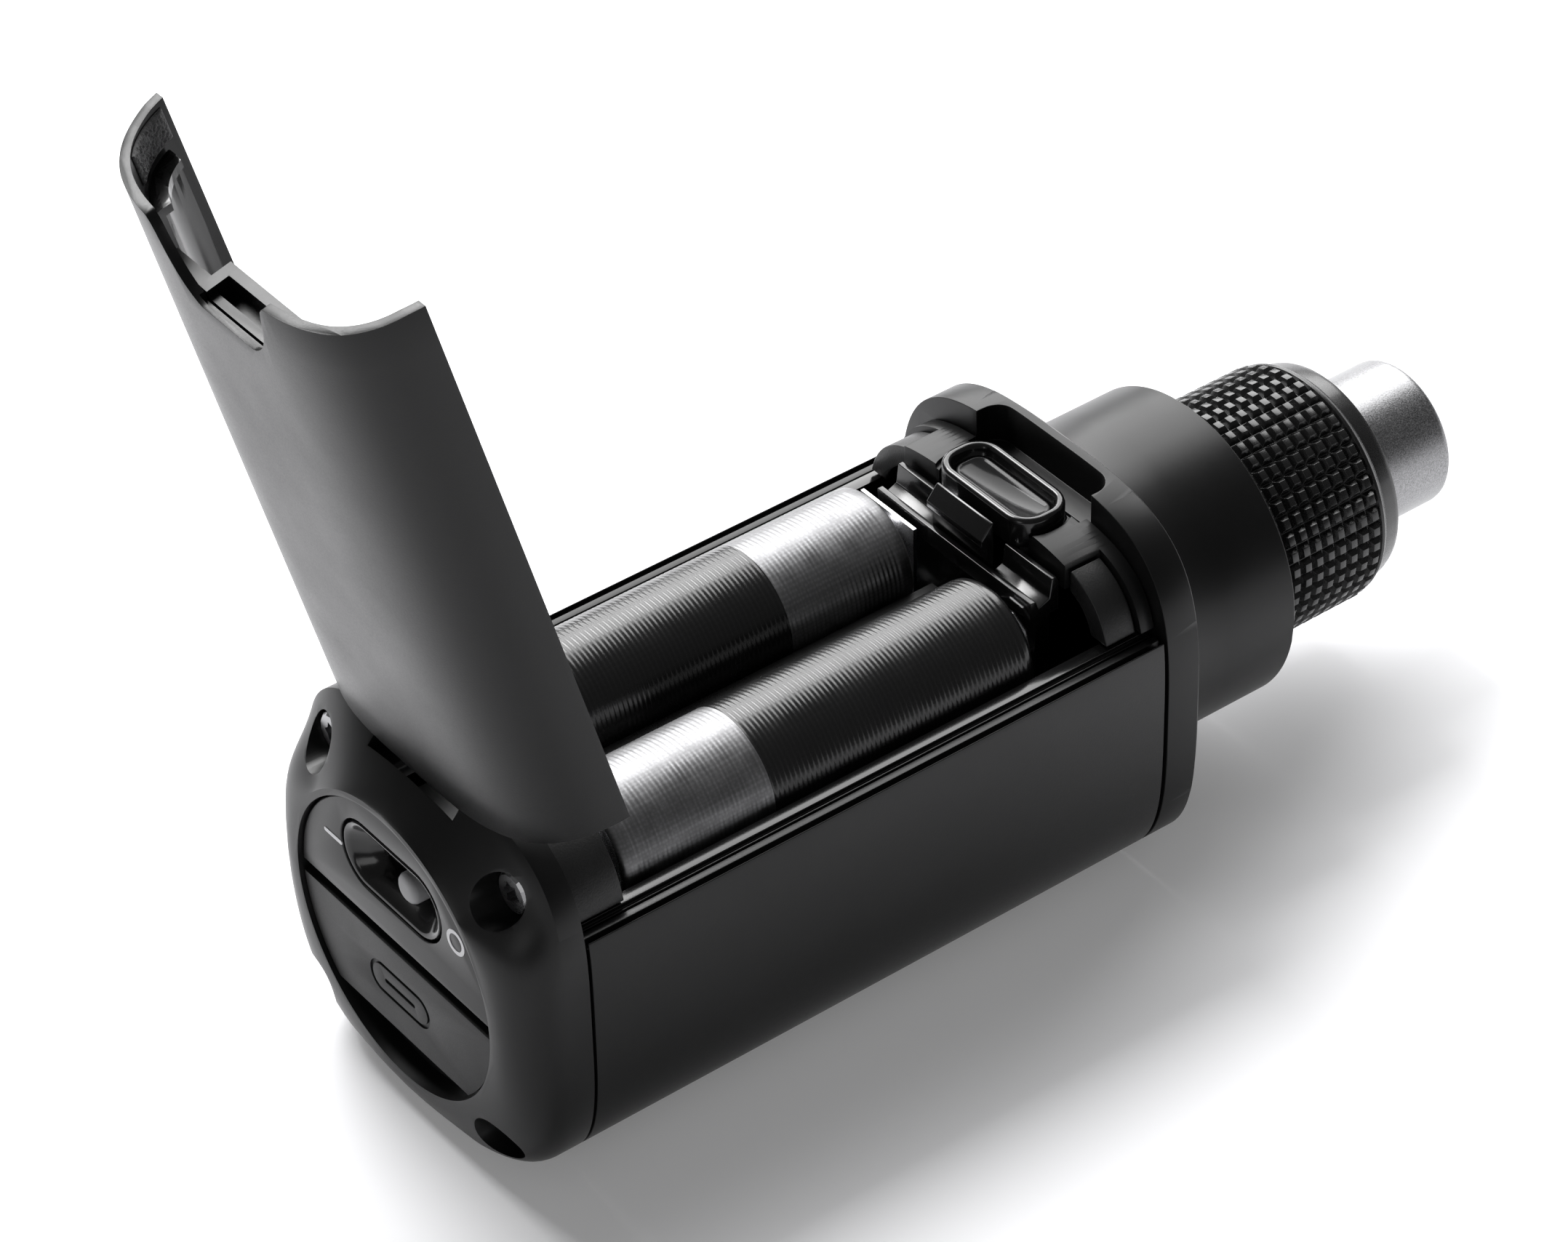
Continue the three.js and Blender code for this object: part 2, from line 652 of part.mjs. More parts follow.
// ---- battery door, drawn closed -----------------------------------------------------------------
function doorSkin() {
  const notch = polygon([...NOTCH.slice().reverse(), ...NOTCH.map(([x, y]) => [x, -y])]);
  const relief = box([LATCH_POCKET, DOOR[1]], [-4.9, 4.9], [10, LATCH.top + 0.2]);
  const heel = doorBand([SKIN_HEEL.thickness, SKIN + 0.2], [DOOR[0] - 0.5, DOOR[0] + SKIN_HEEL.length]);
  return cut(doorBand([0, SKIN], DOOR), below(DOOR_EDGE), prismZ(notch, [10, PAST]), relief, heel);
}

function doorLiner() {
  const rim = below(LINER_EDGE);
  const pocket = box([LATCH_POCKET, 75], [-4.9, 4.9], [10, PAST]);
  const plate = cut(doorBand(LINER_INSETS, LINER), rim, pocket);
  const arm = box([HINGE.x, LINER[0] + 1], [-ARM_HALF, ARM_HALF], [HINGE.z - 0.9, HINGE.z + 1.2]);
  const barrel = rodY(1.9, ARM_HALF, HINGE.x, HINGE.z);
  const bore = rodY(PIN_RADIUS + FINE, ARM_HALF + 1, HINGE.x, HINGE.z, 20);
  const ribs = [26, 40, 54].map((x) => {
    const rib = doorBand([LINER_INSETS[1] - 0.3, LINER_INSETS[1] + 0.3], [x, x + 1]);
    return cut(rib, rim);
  });
  const catchWall = cut(
    box([66.6, 67.6], [-5.9, 5.9], [15, 18.9]),
    box([66, 68], [-4.8, 4.8], [15.9, 17.8]),
  );
  return cut(join(plate, arm, barrel, ...ribs, catchWall), bore);
}

function doorPad(side) {
  const reach = side > 0 ? [PAD.inner, PAST] : [-PAST, -PAD.inner];
  return doorBand(PAD.insets, PAD.x).intersect(box(PAD.x, reach, [PAD.low, PAST]));
}

function hingePin() {
  return rodY(PIN_RADIUS, 7.7, HINGE.x, HINGE.z, 20);
}

// ---- materials and assembly ---------------------------------------------------------------------
function finish(color, roughness, metalness = 0) {
  return () => new THREE.MeshStandardMaterial({ color, roughness, metalness });
}
const satinBlack = finish(0x1a1b1d, 0.55);
const shellBlack = finish(0x202124, 0.48);
const glossBlack = finish(0x0d0d0f, 0.25);
const rubber = finish(0x161618, 0.8);
const foam = finish(0x1c1c1e, 0.95);
const silver = finish(0xc4c5c8, 0.35, 1);
const steel = finish(0x9a9ca0, 0.3, 1);
const brass = finish(0xc8a252, 0.3, 1);
const glass = finish(0x2a2d30, 0.08);
const laminate = finish(0x143a22, 0.5);
const label = finish(0x3a3b3d, 0.35, 0.6);

function add(group, name, body, material) {
  const mesh = new THREE.Mesh(geometryOf(body), material());
  mesh.name = name;
  group.add(mesh);
}

function controls(group) {
  add(group, 'end_cap', endCap(), satinBlack);
  diagonals.forEach((corner, i) => add(group, `cap_screw_${i + 1}`, capScrew(corner), steel));
  add(group, 'switch_panel', switchPanel(), satinBlack);
  add(group, 'switch_dish', switchDish(), glossBlack);
  add(group, 'switch_slider', switchSlider(), finish(0x9b9c9e, 0.5));
  add(group, 'slide_switch', slideSwitch(), glossBlack);
  add(group, 'port_cover', portCover(), rubber);
  add(group, 'port_receptacle', portReceptacle(), steel);
}

function bodyParts(group) {
  add(group, 'body_shell', bodyShell(), shellBlack);
  add(group, 'chassis', chassis(), glossBlack);
  add(group, 'battery_tray', batteryTray(), glossBlack);
  add(group, 'rear_contact_carrier', rearCarrier(), glossBlack);
  add(group, 'contact_carrier', contactCarrier(), glossBlack);
  add(group, 'main_board', mainBoard(), laminate);
  add(group, 'rf_shield_can', shieldCan(), steel);
  add(group, 'power_module', powerModule(), glossBlack);
}

function power(group) {
  add(group, 'cell_far', cell(1, 1), label);
  add(group, 'cell_near', cell(-1, -1), label);
  add(group, 'contact_plate_far', contactPlate(67.2, 1), steel);
  add(group, 'contact_plate_near', contactPlate(13.3, -1), steel);
  add(group, 'cell_spring_far', cellSpring([13.3, 15.5], 1), steel);
  add(group, 'cell_spring_near', cellSpring([65.7, 68.3], -1), steel);
}

function underDoor(group) {
  add(group, 'front_deck', frontDeck(), satinBlack);
  for (const [end, side] of [['far', 1], ['near', -1]]) {
    const front = shoulder(FRONT_SHOULDER, DECK_HALF + FINE, side);
    const rear = shoulder(REAR_SHOULDER, REAR_SHOULDER_INNER, side);
    add(group, `front_shoulder_${end}`, front, shellBlack);
    add(group, `rear_shoulder_${end}`, rear, shellBlack);
  }
  add(group, 'display_bezel', displayBezel(), glossBlack);
  add(group, 'display_window', displayWindow(), glass);
  add(group, 'display_module', displayModule(), glossBlack);
  add(group, 'latch_tab', latchTab(), glossBlack);
  add(group, 'latch_spring', latchSpring(), steel);
}

function connector(group) {
  const raised = (piece) => piece.translate([0, 0, NOSE_RISE]);
  add(group, 'front_housing', frontHousing(), satinBlack);
  add(group, 'lock_ring', raised(lockRing()), satinBlack);
  add(group, 'thrust_washer', raised(thrustWasher()), finish(0xd8d8d4, 0.6));
  add(group, 'xlr_sleeve', raised(xlrSleeve()), silver);
  add(group, 'xlr_insert', raised(xlrInsert()), glossBlack);
  socketPlaces.forEach((place, i) => {
    add(group, `xlr_socket_${i + 1}`, raised(xlrSocket(place)), brass);
  });
}

function door(group) {
  add(group, 'door_skin', doorSkin(), shellBlack);
  add(group, 'door_liner', doorLiner(), glossBlack);
  add(group, 'door_pad_far', doorPad(1), foam);
  add(group, 'door_pad_near', doorPad(-1), foam);
}

const fixed = new THREE.Group();
controls(fixed);
bodyParts(fixed);
power(fixed);
underDoor(fixed);
connector(fixed);
add(fixed, 'hinge_pin', hingePin(), steel);

// The door turns about its hinge, so its pieces sit in a group that is centred there.
const leaf = new THREE.Group();
door(leaf);
leaf.position.set(-HINGE.x, 0, -HINGE.z);
const swing = new THREE.Group();
swing.add(leaf);
swing.position.set(HINGE.x, 0, HINGE.z);
swing.rotation.y = -DOOR_OPEN;

const transmitter = new THREE.Group();
transmitter.add(fixed, swing);
transmitter.position.set(-BODY_MIDDLE, 0, BASE_DROP);
transmitter.updateMatrixWorld(true);

export default transmitter;
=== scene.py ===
import math

import bmesh
import bpy
from mathutils import Matrix, Vector, noise


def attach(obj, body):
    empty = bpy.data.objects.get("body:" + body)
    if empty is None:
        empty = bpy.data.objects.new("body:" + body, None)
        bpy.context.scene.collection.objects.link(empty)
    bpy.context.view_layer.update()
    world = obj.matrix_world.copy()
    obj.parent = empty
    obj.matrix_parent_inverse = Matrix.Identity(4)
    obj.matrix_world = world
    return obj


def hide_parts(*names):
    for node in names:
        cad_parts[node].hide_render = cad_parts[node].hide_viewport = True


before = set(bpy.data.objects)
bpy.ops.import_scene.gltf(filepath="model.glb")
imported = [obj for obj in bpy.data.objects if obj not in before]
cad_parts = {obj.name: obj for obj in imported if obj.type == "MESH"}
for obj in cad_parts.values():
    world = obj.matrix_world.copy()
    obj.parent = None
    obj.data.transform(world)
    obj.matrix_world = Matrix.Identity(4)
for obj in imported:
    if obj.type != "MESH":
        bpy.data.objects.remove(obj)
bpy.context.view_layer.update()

# Shapes are drawn in millimetres: X is counted from the face of the end cap, Y and Z from the axis
# of the body. place() turns a drawn point into the part's own metres.
MM = 0.001
BODY_MIDDLE = 43.0
BASE_DROP = 20.4
NOSE_RISE = 0.4
# The door is drawn shut. place_open() swings it about its hinge, an (x, z), to where it rests.
HINGE = (6.85, 18.32)
DOOR_OPEN = math.radians(105.3)

# A section is a rounded square: half its width, the height of its top and how square it is.
BODY = {"half": 21.1, "crown": 21.2, "power": 3.8}
COLLAR = {"half": 21.1, "crown": 21.6, "power": 3.5}
DOOR_REAR = {"half": 21.1, "crown": 20.8, "power": 3.7}
DOOR_FRONT = {"half": 20.9, "crown": 19.9, "power": 3.8}
BOTTOM_POWER = 3.6
DOOR = (9.5, 76.8)

SECTION_STEPS = 160
ARC_STEPS = 90
U_STEPS = 120
HALVINGS = 60
# The radius of a ring that stands for a point, and how far a corner's radius stays under a side.
POLE = 1e-3
HAIR = 1e-4
# Points nearer than these, in metres, are welded: as drawn, and after a cut.
WELD_DRAWN = 1e-8
WELD_CUT = 2e-7
BEVEL_ANGLE = 32
BEVEL_SEGMENTS = 3
SHARP_ANGLE = 38

# Cutters run past the object along X and above it.
ALONG = (0, 90)
ABOVE = 30
SIDES = (("far", 1), ("near", -1))

ROOT = "transmitter_body"
LEAF = "battery_door"


def place(p):
    return Vector(((p[0] - BODY_MIDDLE) * MM, p[1] * MM, (p[2] + BASE_DROP) * MM))


def place_open(p):
    dx, dz = p[0] - HINGE[0], p[2] - HINGE[1]
    c, s = math.cos(DOOR_OPEN), math.sin(DOOR_OPEN)
    return place((HINGE[0] + dx * c - dz * s, p[1], HINGE[1] + dx * s + dz * c))


# ---- outlines ------------------------------------------------------------------------------------
def angles(steps):
    return [2 * math.pi * i / steps for i in range(steps)]


def both(half):
    return -half, half


def section_point(turn, inset, profile):
    """A point of a section, set in along its own normal. The underside is kept flat."""
    c, s = math.cos(turn), math.sin(turn)
    half = profile["half"]
    power = profile["power"] if s >= 0 else BOTTOM_POWER
    height = profile["crown"] if s >= 0 else half
    y = half * math.copysign(abs(c) ** (2 / power), c)
    z = height * math.copysign(abs(s) ** (2 / power), s)
    ny = math.copysign((abs(y) / half) ** (power - 1) / half, y)
    nz = math.copysign((abs(z) / height) ** (power - 1) / height, z)
    size = math.hypot(ny, nz)
    return y - inset * ny / size, max(z - inset * nz / size, inset - BASE_DROP)


def section(inset=0.0, profile=BODY):
    return [section_point(t, inset, profile) for t in angles(SECTION_STEPS)]


def door_profile(x):
    share = (x - DOOR[0]) / (DOOR[1] - DOOR[0])
    return {k: DOOR_REAR[k] + share * (DOOR_FRONT[k] - DOOR_REAR[k]) for k in DOOR_REAR}


def rising_root(f, a, b):
    """Halves the interval until it pins the root of a rising function."""
    for _ in range(HALVINGS):
        m = (a + b) / 2
        if f(m) < 0:
            a = m
        else:
            b = m
    return (a + b) / 2


def turn_at(height, inset, profile):
    """The turn, from +Y towards the top, at which a section reaches a height."""
    return rising_root(lambda t: section_point(t, inset, profile)[1] - height, 0.0, math.pi / 2)


def arc_above(inset, profile, low):
    """The part of a section that lies above a height, from +Y round to -Y."""
    first = turn_at(low, inset, profile)
    span = math.pi - 2 * first
    return [section_point(first + span * i / ARC_STEPS, inset, profile) for i in range(ARC_STEPS + 1)]


def u_outline(insets, top):
    """Closed outline of a U between two insets of the body's section, open at the top."""
    def lower(inset):
        first = turn_at(top, inset, BODY)
        span = math.pi + 2 * first
        return [section_point(first - span * i / U_STEPS, inset, BODY) for i in range(U_STEPS + 1)]
    return lower(insets[0]) + lower(insets[1])[::-1]


def circle_like(points, radius, rise=0.0):
    """A circle whose points lie at the same angles as those of an outline."""
    return [(radius * y / math.hypot(y, z), rise + radius * z / math.hypot(y, z)) for y, z in points]


def blend_outline(a, b, share):
    return [(p[0] + (q[0] - p[0]) * share, p[1] + (q[1] - p[1]) * share) for p, q in zip(a, b)]


def round_rect(cx, cy, hx, hy, r, steps=8):
    r = min(r, hx - HAIR, hy - HAIR)
    out = []
    for qx, qy, start in ((1, 1, 0), (-1, 1, 90), (-1, -1, 180), (1, -1, 270)):
        for i in range(steps + 1):
            a = math.radians(start + 90 * i / steps)
            out.append((cx + qx * (hx - r) + r * math.cos(a), cy + qy * (hy - r) + r * math.sin(a)))
    return out


def disc_segment(radius, low, high, steps=40):
    """The slice of a disc about the axis that lies between two heights."""
    a, b = math.asin(low / radius), math.asin(min(high / radius, 1.0))
    right = [(radius * math.cos(a + (b - a) * i / steps), radius * math.sin(a + (b - a) * i / steps))
             for i in range(steps + 1)]
    return right + [(-y, z) for y, z in reversed(right)]


def smooth_step(value, low, high):
    t = min(max((value - low) / (high - low), 0), 1)
    return t * t * (3 - 2 * t)


# ---- meshes as (points, faces) -------------------------------------------------------------------
def rings_mesh(rings, closed=False):
    """Skin over rings of points. It is capped at both ends, or joined end to end if closed."""
    count = len(rings[0])
    points = [p for ring in rings for p in ring]
    faces = []
    spans = len(rings) if closed else len(rings) - 1
    for r in range(spans):
        a, b = r * count, (r + 1) % len(rings) * count
        faces += [(a + i, a + (i + 1) % count, b + (i + 1) % count, b + i) for i in range(count)]
    if not closed:
        faces += [tuple(range(count))[::-1], tuple(range(len(points) - count, len(points)))]
    return points, faces


def loft_x(rings, closed=False):
    return rings_mesh([[(x, y, z) for y, z in outline] for x, outline in rings], closed)


def prism_x(outline, span):
    return loft_x([(x, outline) for x in span])


def prism_y(outline, span):
    return rings_mesh([[(x, y, z) for x, z in outline] for y in span])


def prism_z(outline, span):
    return rings_mesh([[(x, y, z) for x, y in outline] for z in span])


def box(x, y, z):
    return prism_z([(x[0], y[0]), (x[1], y[0]), (x[1], y[1]), (x[0], y[1])], z)


def turned(profile, y=0.0, z=0.0, steps=96, closed=False):
    """Turned about X from (station, radius) pairs. Radii of 0 at both ends close it."""
    rings = []
    for x, r in profile:
        r = max(r, POLE)
        rings.append([(x, y + r * math.cos(t), z + r * math.sin(t)) for t in angles(steps)])
    return rings_mesh(rings, closed)


def rod(span, radius, y=0.0, z=0.0, steps=96):
    return turned([(x, radius) for x in span], y, z, steps)


def band(insets, low, span, stations=2):
    """The part of the door's section between two insets that lies above a height."""
    rings = []
    for i in range(stations):
        x = span[0] + (span[1] - span[0]) * i / (stations - 1)
        outer, inner = (arc_above(inset, door_profile(x), low) for inset in insets)
        rings.append((x, outer + inner[::-1]))
    return loft_x(rings)


def door_core(inset, span):
    """Everything under the door's section, set in."""
    return loft_x([(x, section(inset, door_profile(x))) for x in span])


def merged(*parts):
    points, faces = [], []
    for p, f in parts:
        base = len(points)
        points += p
        faces += [tuple(base + i for i in face) for face in f]
    return points, faces


# ---- objects -------------------------------------------------------------------------------------
def mesh_object(name, shape, where=place):
    points, faces = shape
    mesh = bpy.data.meshes.new(name)
    mesh.from_pydata([where(p) for p in points], [], faces)
    bm = bmesh.new()
    bm.from_mesh(mesh)
    bmesh.ops.remove_doubles(bm, verts=bm.verts, dist=WELD_DRAWN)
    bmesh.ops.recalc_face_normals(bm, faces=bm.faces)
    bm.to_mesh(mesh)
    bm.free()
    obj = bpy.data.objects.new(name, mesh)
    bpy.context.scene.collection.objects.link(obj)
    return obj


def bake_modifiers(obj):
    graph = bpy.context.evaluated_depsgraph_get()
    mesh = bpy.data.meshes.new_from_object(obj.evaluated_get(graph))
    old = obj.data
    obj.modifiers.clear()
    obj.data = mesh
    bpy.data.meshes.remove(old)


def combine(obj, tool, operation):
    """Changes an object by another, which is used up."""
    m = obj.modifiers.new("combine", "BOOLEAN")
    m.object, m.operation, m.solver = tool, operation, "EXACT"
    bake_modifiers(obj)
    bpy.data.objects.remove(tool)


def carve(obj, shapes, operation="DIFFERENCE", where=place):
    for shape in shapes:
        combine(obj, mesh_object("tool", shape, where), operation)


def intersected(name, shape, keeps, where=place):
    obj = mesh_object(name, shape, where)
    carve(obj, keeps, "INTERSECT", where)
    return obj


def clean(obj):
    bm = bmesh.new()
    bm.from_mesh(obj.data)
    bmesh.ops.remove_doubles(bm, verts=bm.verts, dist=WELD_CUT)
    bmesh.ops.dissolve_degenerate(bm, edges=bm.edges, dist=WELD_CUT)
    bm.to_mesh(obj.data)
    bm.free()


def soften(obj, width, angle):
    m = obj.modifiers.new("edge", "BEVEL")
    m.width, m.segments, m.limit_method = width * MM, BEVEL_SEGMENTS, "ANGLE"
    m.angle_limit = math.radians(angle)
    m.use_clamp_overlap = True
    bake_modifiers(obj)


def shade(obj, angle):
    for face in obj.data.polygons:
        face.use_smooth = True
    obj.data.set_sharp_from_angle(angle=math.radians(angle))


def dress(obj, material, slot, stands_for=(), body=ROOT, bevel=0.0, angle=BEVEL_ANGLE, sharp=SHARP_ANGLE):
    """Rounds the edges, gives the finish, attaches the object to the body it rides on and hides the parts it
    stands for.
    """
    if bevel:
        soften(obj, bevel, angle)
    shade(obj, sharp)
    obj.data.materials.clear()
    obj.data.materials.append(material)
    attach(obj, body)
    if stands_for:
        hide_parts(*stands_for)


def piece(name, shape, material, slot, stands_for=(), body=ROOT, cuts=(), joins=(), **edges):
    """An object from one shape, with others joined to it and then cut from it."""
    where = place_open if body == LEAF else place
    obj = mesh_object(name, shape, where)
    carve(obj, joins, "UNION", where)
    carve(obj, cuts, "DIFFERENCE", where)
    if cuts or joins:
        clean(obj)
    dress(obj, material, slot, stands_for, body, **edges)
    return obj


# ---- materials -----------------------------------------------------------------------------------
PATCH_SCALE = 90.0
GLOSS_SPREAD = 0.3
METAL_SPECULAR = 0.5
MIDDLE_OF_TWO = (0.7, 1.3)


class Finish:
    """A material with its shader, and the few nodes that every finish here is made from."""

    def __init__(self, name):
        self.material = bpy.data.materials.new(name)
        self.material.use_nodes = True
        self.nodes, self.links = self.material.node_tree.nodes, self.material.node_tree.links
        self.shader = self.nodes["Principled BSDF"]
        self.spot = self.nodes.new("ShaderNodeTexCoord").outputs["Object"]

    def noise(self, scale, detail=3.0, roughness=0.55):
        node = self.nodes.new("ShaderNodeTexNoise")
        node.inputs["Scale"].default_value = scale
        node.inputs["Detail"].default_value = detail
        node.inputs["Roughness"].default_value = roughness
        self.links.new(self.spot, node.inputs["Vector"])
        return node.outputs["Fac"]

    def dots(self, scale, scatter):
        node = self.nodes.new("ShaderNodeTexVoronoi")
        node.inputs["Scale"].default_value = scale
        node.inputs["Randomness"].default_value = scatter
        self.links.new(self.spot, node.inputs["Vector"])
        return node.outputs["Distance"]

    def added(self, first, second):
        node = self.nodes.new("ShaderNodeMath")
        node.operation = "ADD"
        self.links.new(first, node.inputs[0])
        self.links.new(second, node.inputs[1])
        return node.outputs["Value"]

    def remap(self, source, low, high, span=(0.3, 0.7)):
        node = self.nodes.new("ShaderNodeMapRange")
        node.inputs["From Min"].default_value, node.inputs["From Max"].default_value = span
        node.inputs["To Min"].default_value, node.inputs["To Max"].default_value = low, high
        self.links.new(source, node.inputs["Value"])
        return node.outputs["Result"]

    def tint(self, source, dark, light):
        node = self.nodes.new("ShaderNodeMix")
        node.data_type = "RGBA"
        node.inputs["A"].default_value = (*dark, 1)
        node.inputs["B"].default_value = (*light, 1)
        self.links.new(source, node.inputs["Factor"])
        self.links.new(node.outputs["Result"], self.shader.inputs["Base Color"])

    def roughen(self, source):
        self.links.new(source, self.shader.inputs["Roughness"])

    def bump(self, height, depth):
        node = self.nodes.new("ShaderNodeBump")
        node.inputs["Distance"].default_value = depth * MM
        self.links.new(height, node.inputs["Height"])
        self.links.new(node.outputs["Normal"], self.shader.inputs["Normal"])

    def fix(self, socket, value):
        self.shader.inputs[socket].default_value = value


def grey(v):
    return (v, v, v * 1.02)


def scaled(colour, share):
    return tuple(c * share for c in colour)


def moulded(name, base, rough, grain, depth, metal=0.0, mottle=0.25, specular=0.25):
    """Plastic, paint or metal with a fine grain, patches of wear in its gloss and faint mottling."""
    finish = Finish(name)
    fine = finish.noise(grain, detail=4.0)
    patch = finish.noise(PATCH_SCALE)
    finish.tint(finish.remap(patch, 0.2, 0.8), scaled(base, 1 - mottle), scaled(base, 1 + mottle))
    swing = rough * GLOSS_SPREAD / 2
    finish.roughen(finish.remap(finish.added(fine, patch), rough - swing, rough + swing, MIDDLE_OF_TWO))
    finish.bump(fine, depth)
    finish.fix("Metallic", metal)
    finish.fix("Specular IOR Level", METAL_SPECULAR if metal else specular)
    return finish.material


def sparkling_silver():
    """Satin nickel with the sparkle of a blasted surface."""
    finish = Finish("sleeve_silver")
    fine = finish.noise(7000.0, detail=2.0)
    finish.tint(finish.remap(fine, 0, 1), grey(0.16), grey(0.36))
    finish.roughen(finish.remap(fine, 0.30, 0.46))
    finish.bump(fine, 0.012)
    finish.fix("Metallic", 1.0)
    return finish.material


def cell_wrap(name, base, metal, rough):
    """Shiny film over the cell, with fine dots printed in rows."""
    finish = Finish(name)
    dots = finish.dots(2600.0, scatter=0.25)
    finish.tint(finish.remap(dots, 0, 1, span=(0.1, 0.6)), base, scaled(base, 0.72))
    finish.roughen(finish.remap(finish.noise(300.0), rough * 0.8, rough * 1.2))
    finish.bump(dots, 0.004)
    finish.fix("Metallic", metal)
    return finish.material


def dark_glass():
    """The display's window, with faint smears in its colour and gloss."""
    finish = Finish("display_glass")
    smear = finish.noise(260.0)
    finish.tint(smear, grey(0.012), grey(0.022))
    finish.roughen(finish.remap(smear, 0.10, 0.18))
    finish.fix("Specular IOR Level", 0.12)
    return finish.material


def fuzz():
    """Short dark pile."""
    finish = Finish("pad_pile")
    fibre = finish.noise(2400.0, detail=6.0, roughness=0.75)
    finish.tint(finish.remap(fibre, 0, 1), grey(0.010), grey(0.10))
    finish.roughen(finish.remap(fibre, 0.8, 1.0))
    finish.bump(fibre, 0.12)
    finish.fix("Sheen Weight", 0.5)
    finish.fix("Sheen Roughness", 0.4)
    return finish.material


satin = moulded("satin_black", grey(0.005), 0.34, grain=14000, depth=0.003)
shell = moulded("shell_black", grey(0.006), 0.34, grain=5200, depth=0.006)
pebbled = moulded("pebbled_black", grey(0.009), 0.40, grain=5200, depth=0.022, specular=0.4)
gloss = moulded("gloss_black", grey(0.005), 0.16, grain=9000, depth=0.0015, specular=0.45)
inner = moulded("inner_black", grey(0.006), 0.30, grain=7000, depth=0.004)
rubbery = moulded("cover_rubber", grey(0.010), 0.5, grain=12000, depth=0.006)
steel = moulded("bright_steel", grey(0.55), 0.28, grain=9000, depth=0.002, metal=1.0, mottle=0.08)
dark_steel = moulded("dark_steel", grey(0.32), 0.30, grain=9000, depth=0.002, metal=1.0)
gold = moulded("plated_gold", (0.75, 0.52, 0.20), 0.25, grain=9000, depth=0.002, metal=1.0, mottle=0.06)
knob_grey = moulded("knob_grey", grey(0.22), 0.45, grain=12000, depth=0.003, mottle=0.05)
ink = moulded("printed_ink", grey(0.62), 0.6, grain=16000, depth=0.002, mottle=0.04)
washer_white = moulded("washer_white", grey(0.75), 0.5, grain=9000, depth=0.003, mottle=0.03)
laminate = moulded("board_laminate", (0.01, 0.06, 0.025), 0.35, grain=3000, depth=0.004, mottle=0.4)
knurled = moulded("knurl_black", grey(0.006), 0.27, grain=9000, depth=0.0015, specular=0.5)
silver = sparkling_silver()
wrap_black = cell_wrap("wrap_black", grey(0.008), 0.0, 0.24)
wrap_silver = cell_wrap("wrap_silver", grey(0.26), 1.0, 0.44)
glass = dark_glass()
pile = fuzz()

# ---- end cap -------------------------------------------------------------------------------------
SWITCH_Z = 8.3
PORT_Z = -6.0
CAP_BAND = (5.4, 8.0)
CAP_BACK = 9
CAP_LIP = 16.6
CAP_RINGS = 16
CAP_CURVE = 1.8
# The dome flattens where the sine of the turn goes from the first of these to the second.
DOME_TOP = (0.1, 0.75)
DOME_FLAT = 1.15
CORNERS = ((1, 1), (-1, 1), (1, -1), (-1, -1))
SCREW_OFFSET = 14.6
SCREW_WELL = [(-1, 2.75), (6.2, 2.55)]
SCREW_HOLE = {"span": (5, CAP_BACK), "radius": 1.35}
DISC_RECESS = {"span": (-1, 2.6), "radius": 15.9}
CAP_HOLLOW = {"span": (3.8, CAP_BACK), "radius": 15.5}
CAP_WALL = (1, 5)
HINGE_NOTCH = round_rect(0, 19.6, 6.9, 5.0, 0.7)
HINGE_NOTCH_FRONT = 3.4
SWITCH_OPENING = round_rect(0, SWITCH_Z, 8.3, 4.1, 4.0)
PORT_OPENING = {"y": both(5.2), "z": (PORT_Z - 2.9, PORT_Z + 2.5)}


def dome_outline(lip, outline, depth):
    """Outline of the dome at a share of its depth: round at the sides, flatter under the open door."""
    full = math.sqrt(1 - (1 - depth) ** 2)
    flat = depth ** DOME_FLAT
    out = []
    for turn, p, q in zip(angles(len(lip)), lip, outline):
        share = full + (flat - full) * smooth_step(math.sin(turn), *DOME_TOP)
        out.append((p[0] + (q[0] - p[0]) * share, p[1] + (q[1] - p[1]) * share))
    return out


def cap_shape():
    outline = section()
    lip = circle_like(outline, CAP_LIP)
    rings = [(0.0, lip)]
    for i in range(1, CAP_RINGS):
        depth = (i / CAP_RINGS) ** CAP_CURVE
        rings.append((CAP_BAND[0] * depth, dome_outline(lip, outline, depth)))
    return loft_x(rings + [(x, outline) for x in CAP_BAND])


def make_cap():
    spots = [(y * SCREW_OFFSET, z * SCREW_OFFSET) for y, z in CORNERS]
    cuts = [
        rod(**DISC_RECESS, steps=128),
        rod(**CAP_HOLLOW),
        prism_x(HINGE_NOTCH, (HINGE_NOTCH_FRONT, CAP_BACK)),
        prism_x(SWITCH_OPENING, CAP_WALL),
        box(CAP_WALL, **PORT_OPENING),
    ]
    cuts += [turned(SCREW_WELL, y, z, steps=48) for y, z in spots]
    cuts += [rod(**SCREW_HOLE, y=y, z=z, steps=24) for y, z in spots]
    piece("end_cap_shell", cap_shape(), satin, "satin_black", ("end_cap",), cuts=cuts, bevel=0.28, angle=28)


# ---- controls ------------------------------------------------------------------------------------
# A slice of the control disc is its radius, lowest z and highest z.
PLATE = (15.65, 0.55, 15.6)
PLATE_X = (0.45, 2.3)
DISH_HOLE = round_rect(0, SWITCH_Z, 8.25, 4.05, 4.0)
